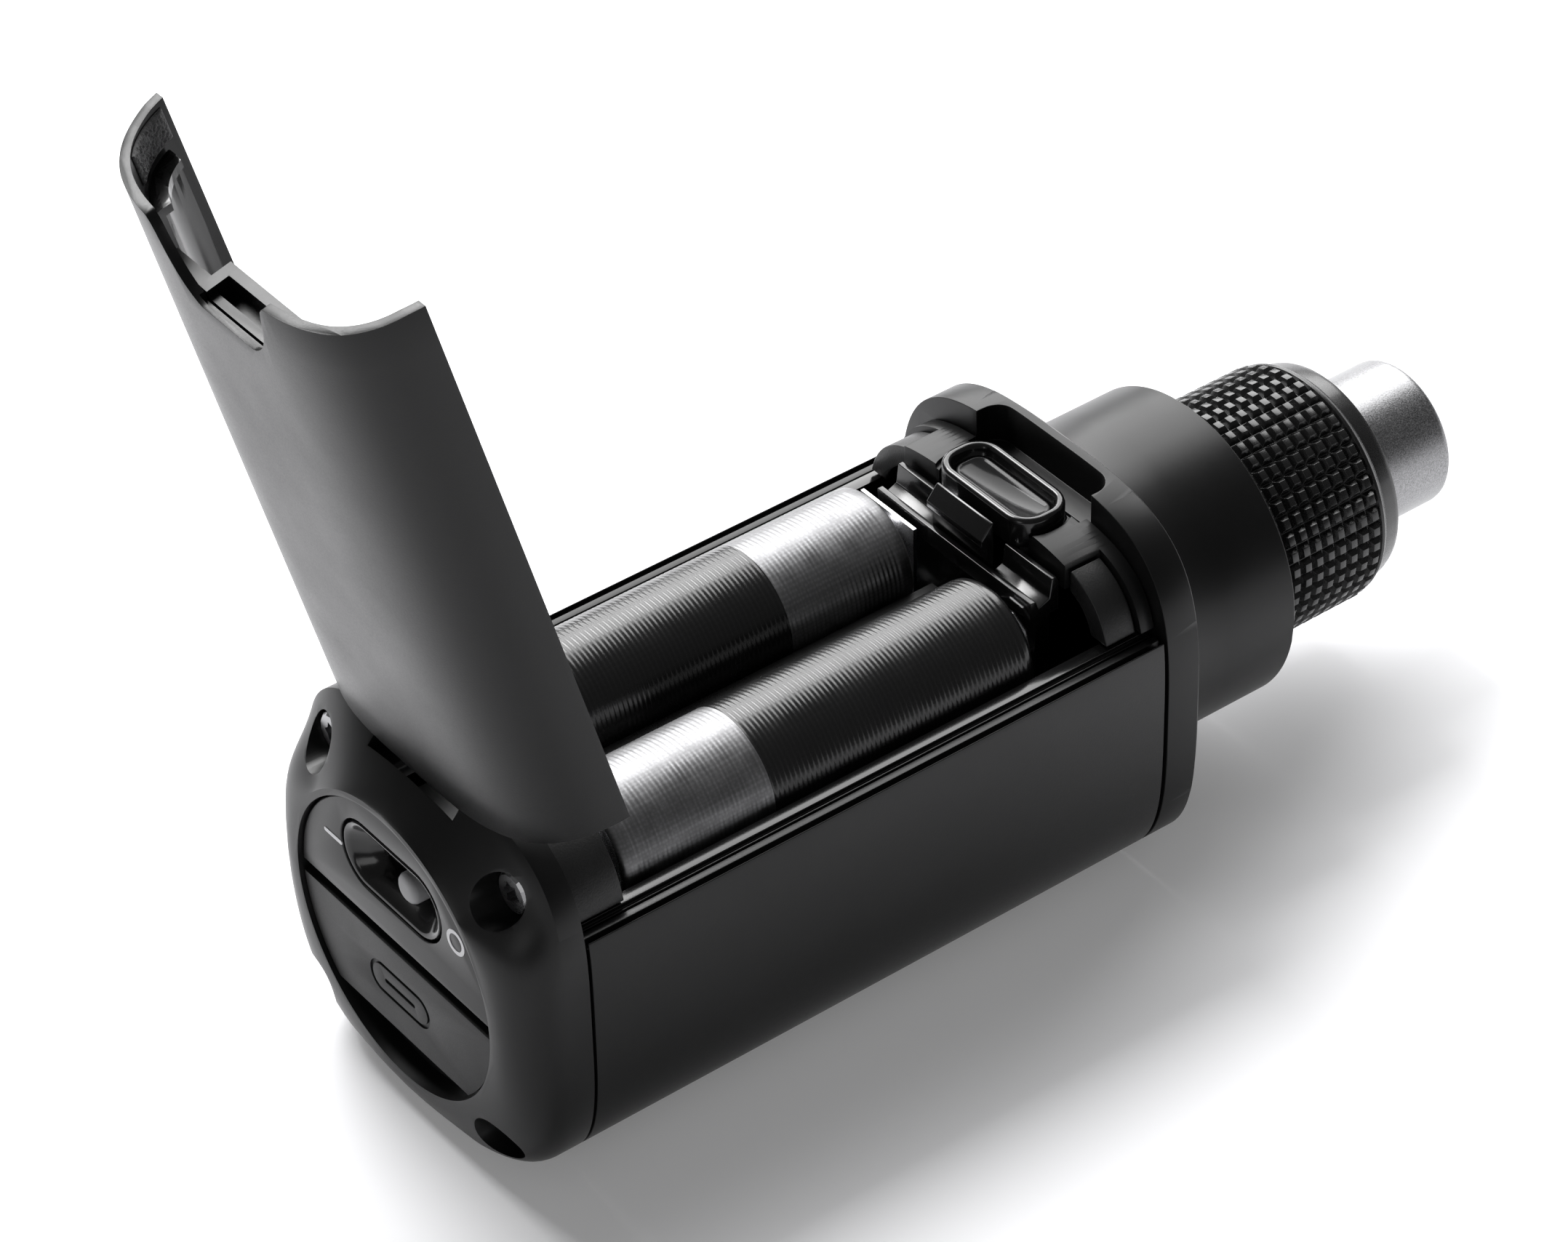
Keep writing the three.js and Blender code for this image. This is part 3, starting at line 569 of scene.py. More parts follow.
# The dish's section: station, half width, half height and corner radius.
DISH = [(3.8, 5.0, 2.3, 2.2), (3.8, 8.0, 3.8, 3.7), (0.75, 8.0, 3.8, 3.7), (0.5, 7.8, 3.6, 3.5),
        (0.55, 7.5, 3.3, 3.3), (0.9, 7.2, 3.05, 3.0), (2.0, 6.1, 2.6, 2.5), (2.9, 5.0, 2.3, 2.2)]
KNOB_Y = -2.0
KNOB = [(0.75, 0), (0.72, 0.75), (0.8, 1.2), (1.0, 1.5), (1.3, 1.65), (4.2, 1.65), (4.2, 0)]
KNOB_FOOT = {"x": (4.2, 4.9), "y": (-8.3, 4.3), "z": (SWITCH_Z - 2.6, SWITCH_Z + 2.6)}
KNOB_COLLAR = {"span": (3.1, 4.3), "radius": 2.15}
MARK_X = (0.40, 0.52)
ON_BAR = round_rect(9.65, 7.4, 1.5, 0.24, 0.23, steps=4)
OFF_RING = {"y": -10.6, "z": 8.0, "inside": 0.98, "outside": 1.42}

FLAP = (15.6, -11.3, -0.95)
FLAP_X = (0.45, 2.2)
GRIP = (15.2, -12.9, -11.2)
GRIP_X = (1.35, 2.0)
GRIP_KEEP = round_rect(0, -10.6, 7.0, 2.7, 2.2)
GRIP_KEEP_X = (0.9, 2.2)
PLUG = {"x": (2.1, 3.3), "y": both(4.6), "z": (PORT_Z - 1.9, PORT_Z + 1.9)}
PILL = {"half": (5.0, 1.95), "line": 0.45}
PILL_BAR = round_rect(0, PORT_Z, 2.5, 0.26, 0.24, steps=4)
ENGRAVED_X = (0.2, 0.68)


def make_controls():
    piece("switch_plate", prism_x(disc_segment(*PLATE), PLATE_X), satin, "satin_black", ("switch_panel",),
          cuts=[prism_x(DISH_HOLE, (-1, 4))], bevel=0.16)
    funnel = loft_x([(x, round_rect(0, SWITCH_Z, *size)) for x, *size in DISH], closed=True)
    piece("switch_funnel", funnel, gloss, "gloss_black", ("switch_dish",), sharp=50)
    piece("switch_knob_cap", turned(KNOB, KNOB_Y, SWITCH_Z, steps=48), knob_grey, "slider_grey",
          ("switch_slider",), "switch_knob", sharp=50)
    piece("switch_knob_foot", box(**KNOB_FOOT), gloss, "gloss_black", body="switch_knob",
          joins=[rod(**KNOB_COLLAR, y=KNOB_Y, z=SWITCH_Z, steps=8)], bevel=0.12)
    low, high = MARK_X
    inside, outside = OFF_RING["inside"], OFF_RING["outside"]
    ring = turned([(low, inside), (high, inside), (high, outside), (low, outside)],
                  OFF_RING["y"], OFF_RING["z"], steps=48, closed=True)
    piece("switch_marks", merged(prism_x(ON_BAR, MARK_X), ring), ink, "slider_grey")


def pill_ring(middle, half, line, span):
    outer = round_rect(*middle, *half, half[1])
    core = round_rect(*middle, half[0] - line, half[1] - line, half[1] - line)
    low, high = span
    return loft_x([(low, core), (high, core), (high, outer), (low, outer)], closed=True)


def make_port_cover():
    grip = intersected("port_cover_grip", prism_x(disc_segment(*GRIP, steps=20), GRIP_X),
                       [prism_x(GRIP_KEEP, GRIP_KEEP_X)])
    marks = [pill_ring((0, PORT_Z), PILL["half"], PILL["line"], ENGRAVED_X), prism_x(PILL_BAR, ENGRAVED_X)]
    piece("port_cover_flap", prism_x(disc_segment(*FLAP), FLAP_X), rubbery, "soft_cover", ("port_cover",),
          "port_flap", cuts=marks, joins=[box(**PLUG)], bevel=0.18)
    dress(grip, rubbery, "soft_cover", body="port_flap", bevel=0.15)


# ---- body ----------------------------------------------------------------------------------------
SHELL = {"x": (8.4, 77.8), "insets": (0, 1.6), "edge": 10.35}
SHELL_GROOVE = {"middle": 20.25, "half": 0.32, "z": (9.55, 12)}
RAILS = {"x": (8.6, 77.6), "insets": (1.9, 3.5), "edge": 10.8}
RAIL_GROOVE = {"middle": 18.75, "half": 0.26, "z": (10.3, 12)}


def edge_grooves(middle, half, z):
    return [box(ALONG, (side * middle - half, side * middle + half), z) for _, side in SIDES]


def make_body():
    piece("shell_skin", prism_x(u_outline(SHELL["insets"], SHELL["edge"]), SHELL["x"]), shell, "shell_black",
          ("body_shell",), cuts=edge_grooves(**SHELL_GROOVE), bevel=0.14, angle=40)
    piece("chassis_rails", prism_x(u_outline(RAILS["insets"], RAILS["edge"]), RAILS["x"]), gloss,
          "gloss_black", ("chassis",), cuts=edge_grooves(**RAIL_GROOVE), bevel=0.14, angle=40)


# ---- cells ---------------------------------------------------------------------------------------
CELL_R = 7.1
CELL_X = (15.9, 65.3)
CELL_Y = 9.3
CELL_Z = 9.8
RIB_PITCH = 0.55
RIB_DEPTH = 0.07
RIB_MARGIN = 0.8
# Shares of the pitch, and how far under the cell's radius the film lies there, in rib depths.
RIB = ((0.0, 1.0), (0.25, 0.5), (0.5, 0.0), (0.75, 0.5))
# The two ends as (distance, radius), counted towards the tip from the flat end and from the tip's.
CELL_FLAT_END = [(0, 0), (0, 5.2), (0.15, 5.6), (0, 6.2), (0.05, 6.7), (0.45, 7.0)]
CELL_TIP_END = [(-0.45, 7.0), (-0.05, 6.6), (0, 6.0), (-0.3, 5.6), (-0.3, 3.0), (0, 2.7), (0.9, 2.6),
                (1.1, 2.4), (1.1, 0)]
BARE_END_R = 6.4
# Node, body, side of the bay, way that the tip points, and where the silver band lies along X.
CELLS = [("cell_far", "far_cell", 1, 1, (49.8, 66)), ("cell_near", "near_cell", -1, -1, (15, 33.4))]


def cell_profile(tip):
    start, stop = CELL_X if tip > 0 else CELL_X[::-1]
    ribs = int((CELL_X[1] - CELL_X[0] - 2 * RIB_MARGIN) / RIB_PITCH)
    out = [(start + tip * x, r) for x, r in CELL_FLAT_END]
    for i in range(ribs):
        base = start + tip * (RIB_MARGIN + i * RIB_PITCH)
        out += [(base + tip * share * RIB_PITCH, CELL_R - RIB_DEPTH * drop) for share, drop in RIB]
    return out + [(stop + tip * x, r) for x, r in CELL_TIP_END]


def make_cell(name, body, side, tip, silver_span):
    obj = piece(f"{name}_wrapped", turned(cell_profile(tip), side * CELL_Y, CELL_Z), wrap_black,
                "cell_label", (name,), body, sharp=60)
    obj.data.materials.append(wrap_silver)
    obj.data.materials.append(steel)
    for face in obj.data.polygons:
        x = face.center.x / MM + BODY_MIDDLE
        radius = math.hypot(face.center.y / MM - side * CELL_Y, face.center.z / MM - BASE_DROP - CELL_Z)
        if radius < BARE_END_R:
            face.material_index = 2
        elif silver_span[0] <= x <= silver_span[1]:
            face.material_index = 1


# ---- display, latch and what the door closes over -------------------------------------------------
BEZEL = {"mid": 74.45, "hx": 3.45, "hy": 7.3, "corner": 2.9, "low": 16.6, "top": 19.8}
# The bezel's section and the pane's edge as (height, inset from the bezel's outline).
BEZEL_STEPS = [
    (BEZEL["low"], 0.0), (BEZEL["top"] - 0.45, 0.0), (BEZEL["top"] - 0.12, 0.12), (BEZEL["top"], 0.42),
    (BEZEL["top"], 0.62), (BEZEL["top"] - 0.12, 0.86), (BEZEL["top"] - 0.5, 1.0), (18.75, 1.12),
    (18.6, 1.28), (BEZEL["low"], 1.28),
]
PANE_STEPS = [(18.2, 1.5), (18.7, 1.5), (18.8, 1.6), (18.8, 1.75), (18.66, 1.9)]
DECK = (72.0, 78.0)
DECK_INSETS = (1.3, 4.1)
DECK_PLATE = {"x": (60, 90), "y": both(12.5), "z": (15, ABOVE)}
DECK_BAND = (76.4, DECK[1])
COVERED_LOW = 11.2
BEZEL_SEAT = {"room": 0.75, "z": (18.05, ABOVE)}
BEZEL_OPENING = {"room": 0.3, "z": (15.6, ABOVE)}
DECK_END_CUT = {"x": (77.0, 80), "y": both(8.6), "z": (17, ABOVE)}
LATCH_TAIL_ROOM = {"x": (70, 75), "y": both(4.9), "z": (14, 16.4)}
LATCH_TIP_ROOM = {"x": (70, 72.6), "y": both(5.6), "z": (14, ABOVE)}
SHOULDER_INSETS = (1.8, 4.1)
# Which end, where along X, and how far from the middle the shoulders start.
SHOULDERS = (("front", (72.4, 76.1), 12.8), ("rear", (8.5, 14.0), 7.4))
LATCH = [(68.95, 11.4), (69.8, 11.4), (69.8, 19.3), (69.5, 19.3), (68.2, 17.7), (68.2, 17.0), (68.95, 16.4)]
CONTACT_BAR = [(68.7, 1), (70.6, 1), (70.6, 12.4), (71.7, 12.4), (71.7, 16), (71.4, 16.5), (70.8, 16.5),
               (70.5, 14.3), (69.1, 13.7), (68.8, 14.7), (68.1, 14.7), (68.1, 12.6), (68.7, 12)]
CONTACT_BAR_GAP = {"x": (68.85, 74), "y": both(4.7), "z": (10.8, 18)}


def bezel_outline(inset):
    b = BEZEL
    return round_rect(b["mid"], 0, b["hx"] - inset, b["hy"] - inset, b["corner"] - inset)


def bezel_loft(steps, closed=False):
    return rings_mesh([[(x, y, z) for x, y in bezel_outline(inset)] for z, inset in steps], closed)


def make_deck():
    deck = intersected("deck_plate", door_core(DECK_INSETS[0], DECK), [box(**DECK_PLATE)])
    carve(deck, [band(DECK_INSETS, COVERED_LOW, DECK_BAND)], "UNION")
    carve(deck, [prism_z(bezel_outline(-cut["room"]), cut["z"]) for cut in (BEZEL_SEAT, BEZEL_OPENING)])
    carve(deck, [box(**cut) for cut in (DECK_END_CUT, LATCH_TAIL_ROOM, LATCH_TIP_ROOM)])
    clean(deck)
    dress(deck, satin, "satin_black", ("front_deck",), bevel=0.16)


def make_shoulders():
    for label, side in SIDES:
        for end, span, start in SHOULDERS:
            keep = box((span[0] - 1, span[1] + 1), sorted((side * start, side * 30)), (11, ABOVE))
            shape = band(SHOULDER_INSETS, COVERED_LOW, span)
            obj = intersected(f"{end}_shoulder_{label}_shell", shape, [keep])
            clean(obj)
            dress(obj, pebbled, "shell_black", (f"{end}_shoulder_{label}",), bevel=0.16)


def make_display():
    piece("bezel_ring", bezel_loft(BEZEL_STEPS, closed=True), gloss, "gloss_black", ("display_bezel",),
          sharp=50)
    piece("display_pane", bezel_loft(PANE_STEPS), glass, "window", ("display_window",), sharp=50)


def make_latch():
    piece("latch_bar", prism_y(LATCH, both(4.3)), gloss, "gloss_black", ("latch_tab",), "door_latch",
          bevel=0.22, angle=25)


def make_contact_bar():
    piece("front_contact_bar", prism_y(CONTACT_BAR, both(12)), gloss, "gloss_black", ("contact_carrier",),
          cuts=[box(**CONTACT_BAR_GAP)], bevel=0.12)


# ---- front housing -------------------------------------------------------------------------------
COLLAR_X = (78.3, 82.1)
# Stations of the taper, and how far from the collar's outline to the barrel's it is there.
TAPER = ((82.5, 0.08), (82.75, 0.3), (83.1, 0.52), (83.6, 0.7), (84.3, 0.86), (85.1, 0.96), (86.0, 1.0))
BARREL = 17.05
BARREL_X = (90.0, 98.5)
BARREL_END = (98.8, BARREL - 0.3)
SLEEVE_R = 8.1
HOUSING_HOLLOW = {"span": (70, 96.8), "radius": 15.2}
SLEEVE_HOLE = {"span": (80, 110), "radius": SLEEVE_R + 0.3}
COLLAR_NOTCH = round_rect(78.6, 0, 2.6, 8.8, 2.0)
COLLAR_NOTCH_FLOOR = 17


def make_housing():
    outline = section(0.0, COLLAR)
    tube = circle_like(outline, BARREL, NOSE_RISE)
    rings = [(x, outline) for x in COLLAR_X]
    rings += [(x, blend_outline(outline, tube, share)) for x, share in TAPER]
    rings += [(x, tube) for x in BARREL_X]
    rings.append((BARREL_END[0], circle_like(outline, BARREL_END[1], NOSE_RISE)))
    cuts = [
        rod(**HOUSING_HOLLOW, z=NOSE_RISE),
        rod(**SLEEVE_HOLE, z=NOSE_RISE, steps=64),
        prism_z(COLLAR_NOTCH, (COLLAR_NOTCH_FLOOR, ABOVE)),
    ]
    piece("housing_shell", loft_x(rings), satin, "satin_black", ("front_housing",), cuts=cuts,
          bevel=0.2, angle=50, sharp=32)


# ---- lock ring -----------------------------------------------------------------------------------
KNURL_X = (99.95, 113.9)
KNURL_ROWS = 9
KNURL_ROUND = 45
KNURL_DEPTH = 0.65
# Shares of a row's pitch, and the height there: the groove, its slope and the flat top.
KNURL_ROW = ((0.0, 0.0), (0.06, 0.0), (0.28, 1.0), (0.78, 1.0))
RING_R = 13.3
RING_BACK = [(99.3, 10.7), (99.3, RING_R - 0.5), (99.55, RING_R - 0.15), (99.75, RING_R - 0.2)]
RING_NOSE = [(114.1, RING_R - 0.25), (114.4, RING_R - 0.2), (114.7, 12.9), (115.1, 12.55), (116.6, 12.3),
             (117.2, 12.05), (117.5, 11.6), (117.5, SLEEVE_R + 0.5), (112.6, SLEEVE_R + 0.5), (112.6, 10.7)]
FLAT_FACE = 0.05


def knurl_levels(rows, start, stop):
    """Stations with how high the knurl stands there, row by row."""
    pitch = (stop - start) / rows
    out = [(start + i * pitch + share * pitch, height) for i in range(rows) for share, height in KNURL_ROW]
    return out + [(stop, 0.0)]


def ring_round(x, radii, turns):
    return [(x, r * math.cos(t), r * math.sin(t) + NOSE_RISE) for r, t in zip(radii, turns)]


def split_slopes(points, faces):
    """Splits each bent face of the knurl along the diagonal whose ends differ more in radius."""
    out = []
    for face in faces:
        r = [math.hypot(points[i][1], points[i][2] - NOSE_RISE) for i in face]
        if abs(r[0] + r[2] - r[1] - r[3]) < FLAT_FACE:
            out.append(face)
        elif abs(r[0] - r[2]) > abs(r[1] - r[3]):
            out += [(face[0], face[1], face[2]), (face[0], face[2], face[3])]
        else:
            out += [(face[1], face[2], face[3]), (face[1], face[3], face[0])]
    return out


def make_lock_ring():
    levels = knurl_levels(KNURL_ROUND, 0.0, 2 * math.pi)[:-1]
    turns = [t for t, _ in levels]
    low = RING_R - KNURL_DEPTH
    back = [ring_round(x, [r] * len(turns), turns) for x, r in RING_BACK]
    knurl = [ring_round(x, [low + KNURL_DEPTH * min(height, side) for _, side in levels], turns)
             for x, height in knurl_levels(KNURL_ROWS, *KNURL_X)]
    nose = [ring_round(x, [r] * len(turns), turns) for x, r in RING_NOSE]
    points, faces = rings_mesh(back + knurl + nose, closed=True)
    first, last = len(back) * len(turns), (len(back) + len(knurl)) * len(turns)
    faces = faces[:first] + split_slopes(points, faces[first:last]) + faces[last:]
    piece("lock_ring_knurled", (points, faces), knurled, "satin_black", ("lock_ring",), "locking_ring",
          bevel=0.03, angle=20, sharp=18)


# ---- connector -----------------------------------------------------------------------------------
SLEEVE = [(93.9, 7.25), (93.9, 12.0), (96.3, 12.0), (96.3, SLEEVE_R), (127.5, SLEEVE_R), (127.9, 8.03),
          (128.2, 7.8), (128.2, 7.4), (128.0, 7.25)]
SLEEVE_SLOT = {"x": (117.9, 126.4), "y": (-8.4, -7.9), "z": (-2.1, -1.85)}
CORE = [(100, 0), (100, 6.95), (124.8, 6.95), (125.1, 6.85), (125.2, 6.6), (125.2, 0)]
CONTACT_RING = 3.6
CONTACT_TURNS = (90, 210, 330)
CONTACT_HOLE = {"span": (110, 130), "radius": 1.7}
CONTACT = [(110.4, 0), (110.4, 1.4), (124.2, 1.4), (124.4, 1.3), (124.4, 1.18), (112, 1.15), (112, 0)]


def make_connector():
    piece("nose_sleeve", turned(SLEEVE, z=NOSE_RISE, closed=True), silver, "sleeve_silver", ("xlr_sleeve",),
          cuts=[box(**SLEEVE_SLOT)], sharp=30)
    spots = [(CONTACT_RING * math.cos(math.radians(a)), NOSE_RISE + CONTACT_RING * math.sin(math.radians(a)))
             for a in CONTACT_TURNS]
    piece("socket_core", turned(CORE, z=NOSE_RISE, steps=72), gloss, "gloss_black", ("xlr_insert",),
          cuts=[rod(**CONTACT_HOLE, y=y, z=z, steps=32) for y, z in spots], bevel=0.1, angle=40)
    for i, (y, z) in enumerate(spots, start=1):
        piece(f"contact_socket_{i}", turned(CONTACT, y, z, steps=32), gold, "gold", (f"xlr_socket_{i}",),
              sharp=30)


# ---- battery door, drawn shut --------------------------------------------------------------------
SKIN_EDGE = 10.45
SKIN_INSETS = (0, 1.0)
# The far side of the notch in the door's free end, from its floor out to its mouth, as (x, y).
NOTCH_SIDE = [(68.5, 3.9), (68.7, 4.5), (69.2, 5.2), (69.75, 5.8), (70.4, 6.3), (71.1, 6.75), (71.9, 7.1),
              (72.9, 7.5), (73.9, 7.8), (75.0, 8.1), (75.8, 8.4), (76.3, 8.8), (76.65, 9.4), (76.9, 10.4)]
NOTCH_OUT = [(90, -12), (90, 12)]
LATCH_PASSAGE = {"x": (67.9, 77.5), "y": both(4.9), "z": (10, 19.5)}
# The free end leans back as it rises, as (x, z), and runs on past the door.
FREE_EDGE = [(76.4, 26), (76.4, 17), (76.6, 14), (76.9, 11), (85, 11), (85, 26)]
# The skin is thinned from inside over its last stretch at the hinge, to swing clear of the end cap.
HEEL_INSETS = (0.5, 1.2)
HEEL = (DOOR[0] - 0.5, DOOR[0] + 0.8)
LINER = {"insets": (1.3, 2.3), "low": 12, "span": (14.6, 72.1)}
# A known fault: the pin's hole reaches a height of 19.57, just through the top of the arm.
ARM = [(5.6, 17.5), (6.85, 16.5), (15.6, 17.3), (15.6, 19.0), (6.85, 19.4), (5.6, 19.0)]
ARM_HALF = 6.2
PIN_HOLE_R = 1.25
RIBS = {"insets": (2.0, 2.6), "low": 12, "at": (26, 40, 54), "thick": 1}
END_RIB = {"insets": (1.2, 3.1), "low": 12.1, "span": (71.2, 72.1)}
LINER_OPENING = [(66.4, -12.6), (66.4, 12.6), (67.2, 13.0), (90, 13.0), (90, -13.0), (67.2, -13.0)]


def make_door():
    notch = prism_z(NOTCH_SIDE[::-1] + [(x, -y) for x, y in NOTCH_SIDE] + NOTCH_OUT, (8, ABOVE))
    skin_cuts = [notch, box(**LATCH_PASSAGE), prism_y(FREE_EDGE, both(25)),
                 band(HEEL_INSETS, SKIN_EDGE - 1, HEEL)]
    piece("door_shell", band(SKIN_INSETS, SKIN_EDGE, DOOR, stations=15), shell, "shell_black",
          ("door_skin",), LEAF, cuts=skin_cuts, bevel=0.3, angle=40)
    hole = [(HINGE[0] + PIN_HOLE_R * math.cos(t), HINGE[1] + PIN_HOLE_R * math.sin(t)) for t in angles(32)]
    ribs = [band(RIBS["insets"], RIBS["low"], (x, x + RIBS["thick"])) for x in RIBS["at"]]
    piece("door_lining", band(**LINER, stations=12), gloss, "gloss_black", ("door_liner",), LEAF,
          joins=[prism_y(ARM, both(ARM_HALF)), *ribs, band(**END_RIB)],
          cuts=[prism_z(LINER_OPENING, (8, ABOVE)), prism_y(hole, both(8))], bevel=0.14, angle=40)


CATCH_INSET = 1.25
CATCH_CORE = (60.0, 80.0)
CATCH_TOP = 25
POCKET_X = (65.5, 68.7)
POCKET_FLOOR = 15.2
LEDGE = {"x": (65.6, 68.1), "z": (17.1, CATCH_TOP)}
CATCH_WALLS = [
    box(POCKET_X, (5.0, 6.3), (POCKET_FLOOR, CATCH_TOP)),
    box(POCKET_X, (-6.3, -5.0), (POCKET_FLOOR, CATCH_TOP)),
    box(POCKET_X, both(5.2), (POCKET_FLOOR, 16.3)),
    box((POCKET_X[0], 67.9), both(5.2), (17.9, CATCH_TOP)),
    box((POCKET_X[0], 66.5), both(5.6), (15.4, CATCH_TOP)),
    box(LEDGE["x"], (6.1, 12.3), LEDGE["z"]),
    box(LEDGE["x"], (-12.3, -6.1), LEDGE["z"]),
]


def make_catch():
    """Moulded pocket that the latch's tip enters, with a ledge at each side of it."""
    inside = door_core(CATCH_INSET, CATCH_CORE)
    catch = intersected("door_catch_rim", inside, CATCH_WALLS[:1], place_open)
    for wall in CATCH_WALLS[1:]:
        combine(catch, intersected("part", inside, [wall], place_open), "UNION")
    clean(catch)
    dress(catch, satin, "gloss_black", body=LEAF, bevel=0.2)


# ---- pads in the door's horns ---------------------------------------------------------------------
PAD_COLS, PAD_ROWS = 40, 56
PAD_START, PAD_WIDTH = 72.7, 3.5
PAD_TURN, PAD_SWEEP = 20, 29
PAD_BACK = 1.05
# Insets of the pad's face: at its rim, how much more in its middle, and the height of the pile.
PAD_RIM = 1.12
PAD_PUFF = 0.1
PAD_PILE = 0.38
PAD_EDGE_SHARE = 0.12
PILE_ALONG, PILE_ROUND, PILE_SIDE = 3.4, 34, 3.0


def pad_point(u, v, side, inset):
    x = PAD_START + PAD_WIDTH * u
    y, z = section_point(math.radians(PAD_TURN + PAD_SWEEP * v), inset, door_profile(x))
    return x, side * y, z


def pad_face_inset(u, v, side):
    edge = min(u, 1 - u, v, 1 - v)
    puff = min(1.0, edge / PAD_EDGE_SHARE) ** 0.5
    spot = Vector(((PAD_START + PAD_WIDTH * u) * PILE_ALONG, v * PILE_ROUND, side * PILE_SIDE))
    rough = noise.noise(spot) * 0.5 + 0.5
    return PAD_RIM + PAD_PUFF * puff + PAD_PILE * rough * puff


def pad_shape(side):
    grid = [(c / PAD_COLS, r / PAD_ROWS) for r in range(PAD_ROWS + 1) for c in range(PAD_COLS + 1)]
    top = [pad_point(u, v, side, pad_face_inset(u, v, side)) for u, v in grid]
    under = [pad_point(u, v, side, PAD_BACK) for u, v in grid]
    w, base = PAD_COLS + 1, len(top)
    faces = []
    for r in range(PAD_ROWS):
        for c in range(PAD_COLS):
            i = r * w + c
            faces.append((i, i + 1, i + w + 1, i + w))
            faces.append((base + i, base + i + w, base + i + w + 1, base + i + 1))
    border = list(range(w)) + [r * w + PAD_COLS for r in range(1, PAD_ROWS + 1)]
    border += [PAD_ROWS * w + c for c in range(PAD_COLS - 1, -1, -1)]
    border += [r * w for r in range(PAD_ROWS - 1, 0, -1)]
    faces += [(a, b, base + b, base + a) for a, b in zip(border, border[1:] + border[:1])]
    return top + under, faces


def make_pads():
    """Foam pads with a rough pile face, pressed into the hollows of the door's horns."""
    for label, side in SIDES:
        obj = piece(f"horn_pad_{label}", pad_shape(side), pile, "foam", (f"door_pad_{label}",), LEAF,
                    sharp=80)


# ---- materials on the CAD nodes that keep their own shape ------------------------------------------
KEPT = {
    dark_steel: ["cap_screw_1", "cap_screw_2", "cap_screw_3", "cap_screw_4"],
    steel: ["port_receptacle", "rf_shield_can", "contact_plate_far", "contact_plate_near",
            "cell_spring_far", "cell_spring_near", "latch_spring", "hinge_pin"],
    inner: ["battery_tray", "rear_contact_carrier", "power_module", "display_module", "slide_switch"],
    laminate: ["main_board"],
    washer_white: ["thrust_washer"],
}


def dress_kept_nodes():
    for material, names in KEPT.items():
        for name in names:
            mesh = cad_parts[name].data
            mesh.materials.clear()
            mesh.materials.append(material)


# ---- studio --------------------------------------------------------------------------------------
LENS = 129.483
SENSOR = 36.0
CLIP = (0.02, 20.0)
# Degrees, and millimetres from the drawing's origin: back along the view, across it and up it.
CAMERA = {"azimuth": -36.767, "elevation": 38.885, "roll": -1.416, "away": 532.629, "across": 37.005,
          "up": 30.960}
WORLD_LIGHT = 0.13
FLOOR = {"half": 6.0, "drop": 0.0002, "dark": 0.80, "light": 0.83, "roughness": 0.9, "own_light": 0.16}
STUDIO_MIDDLE = Vector((0.02, 0, 0.03))
# Name, place from the studio's middle in metres, width, watts, and height as a share of the width.
SOFTBOXES = [
    ("key_box", (0.4725, 0.693, 0.63), 1.25, 24.0, 0.8),
    ("door_box", (-0.02, 0.62, 0.80), 0.42, 9.0, 1.0),
    ("left_box", (-0.90, -0.30, 0.38), 0.35, 0.7, 1.0),
]


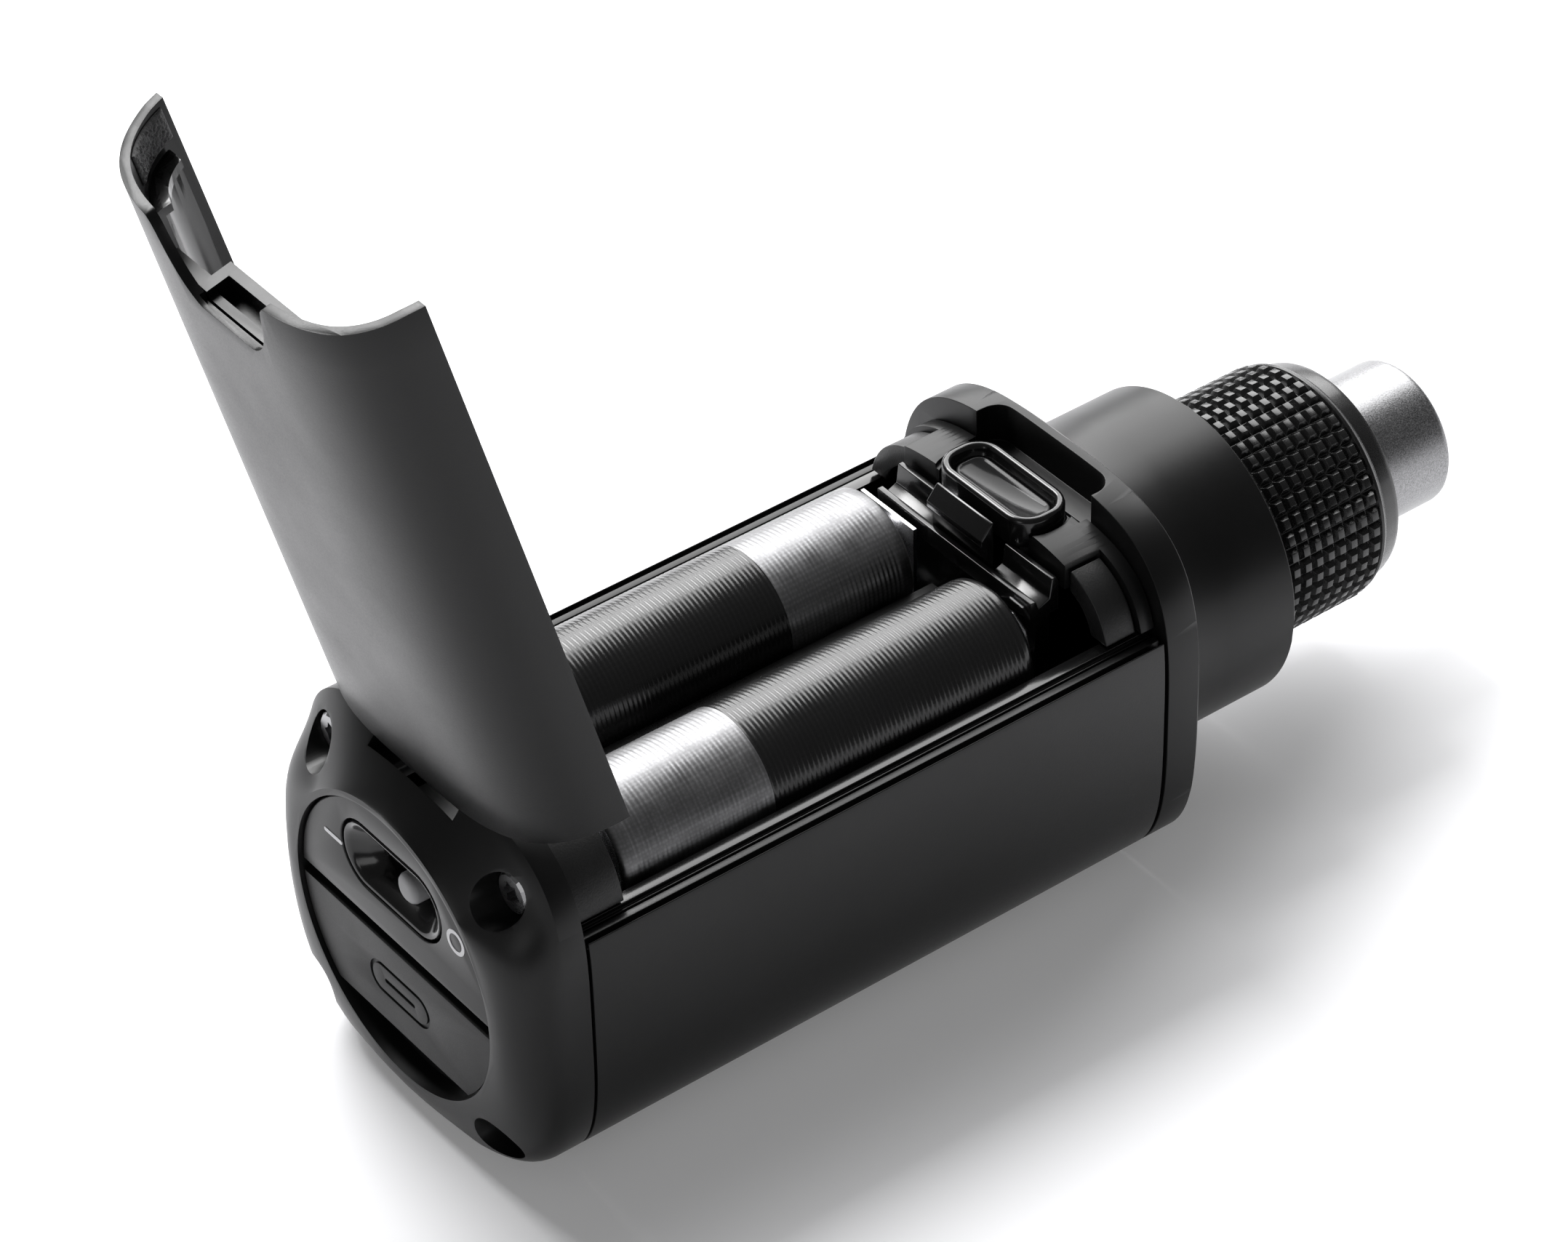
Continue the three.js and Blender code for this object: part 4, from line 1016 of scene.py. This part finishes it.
def make_camera():
    az, el, roll = (math.radians(CAMERA[k]) for k in ("azimuth", "elevation", "roll"))
    back = Vector((math.sin(az) * math.cos(el), -math.cos(az) * math.cos(el), math.sin(el)))
    right = Vector((math.cos(az), math.sin(az), 0))
    up = back.cross(right)
    across = math.cos(roll) * right + math.sin(roll) * up
    upright = -math.sin(roll) * right + math.cos(roll) * up
    data = bpy.data.cameras.new("camera")
    data.sensor_width = SENSOR
    data.lens = LENS
    data.clip_start, data.clip_end = CLIP
    cam = bpy.data.objects.new("camera", data)
    bpy.context.scene.collection.objects.link(cam)
    spot = place(back * CAMERA["away"] + across * CAMERA["across"] + upright * CAMERA["up"])
    turn = Matrix((across, upright, back)).transposed().to_4x4()
    cam.matrix_world = Matrix.Translation(spot) @ turn
    bpy.context.scene.camera = cam


def softbox(name, offset, width, power, shape_ratio):
    data = bpy.data.lights.new(name, "AREA")
    data.shape = "RECTANGLE"
    data.size, data.size_y = width, width * shape_ratio
    data.energy = power
    obj = bpy.data.objects.new(name, data)
    bpy.context.scene.collection.objects.link(obj)
    obj.location = STUDIO_MIDDLE + Vector(offset)
    obj.rotation_mode = "QUATERNION"
    obj.rotation_quaternion = (-Vector(offset)).to_track_quat("-Z", "Y")


def make_world():
    world = bpy.data.worlds.new("studio")
    bpy.context.scene.world = world
    world.use_nodes = True
    background = world.node_tree.nodes["Background"]
    background.inputs["Color"].default_value = (1, 1, 1, 1)
    background.inputs["Strength"].default_value = WORLD_LIGHT


def make_floor():
    mesh = bpy.data.meshes.new("floor")
    r = FLOOR["half"]
    mesh.from_pydata([(-r, -r, 0), (r, -r, 0), (r, r, 0), (-r, r, 0)], [], [(0, 1, 2, 3)])
    floor = bpy.data.objects.new("floor", mesh)
    floor.location.z = -FLOOR["drop"]
    bpy.context.scene.collection.objects.link(floor)
    finish = Finish("pale_floor")
    finish.tint(finish.noise(3.0), grey(FLOOR["dark"]), grey(FLOOR["light"]))
    finish.fix("Roughness", FLOOR["roughness"])
    finish.fix("Emission Color", (1, 1, 1, 1))
    finish.fix("Emission Strength", FLOOR["own_light"])
    mesh.materials.append(finish.material)


def make_studio():
    make_world()
    make_floor()
    for box_settings in SOFTBOXES:
        softbox(*box_settings)
    bpy.context.scene.view_settings.view_transform = "Standard"


make_camera()
make_studio()
make_cap()
make_controls()
make_port_cover()
make_body()
for cell in CELLS:
    make_cell(*cell)
make_deck()
make_shoulders()
make_display()
make_latch()
make_contact_bar()
make_housing()
make_lock_ring()
make_connector()
make_door()
make_catch()
make_pads()
dress_kept_nodes()
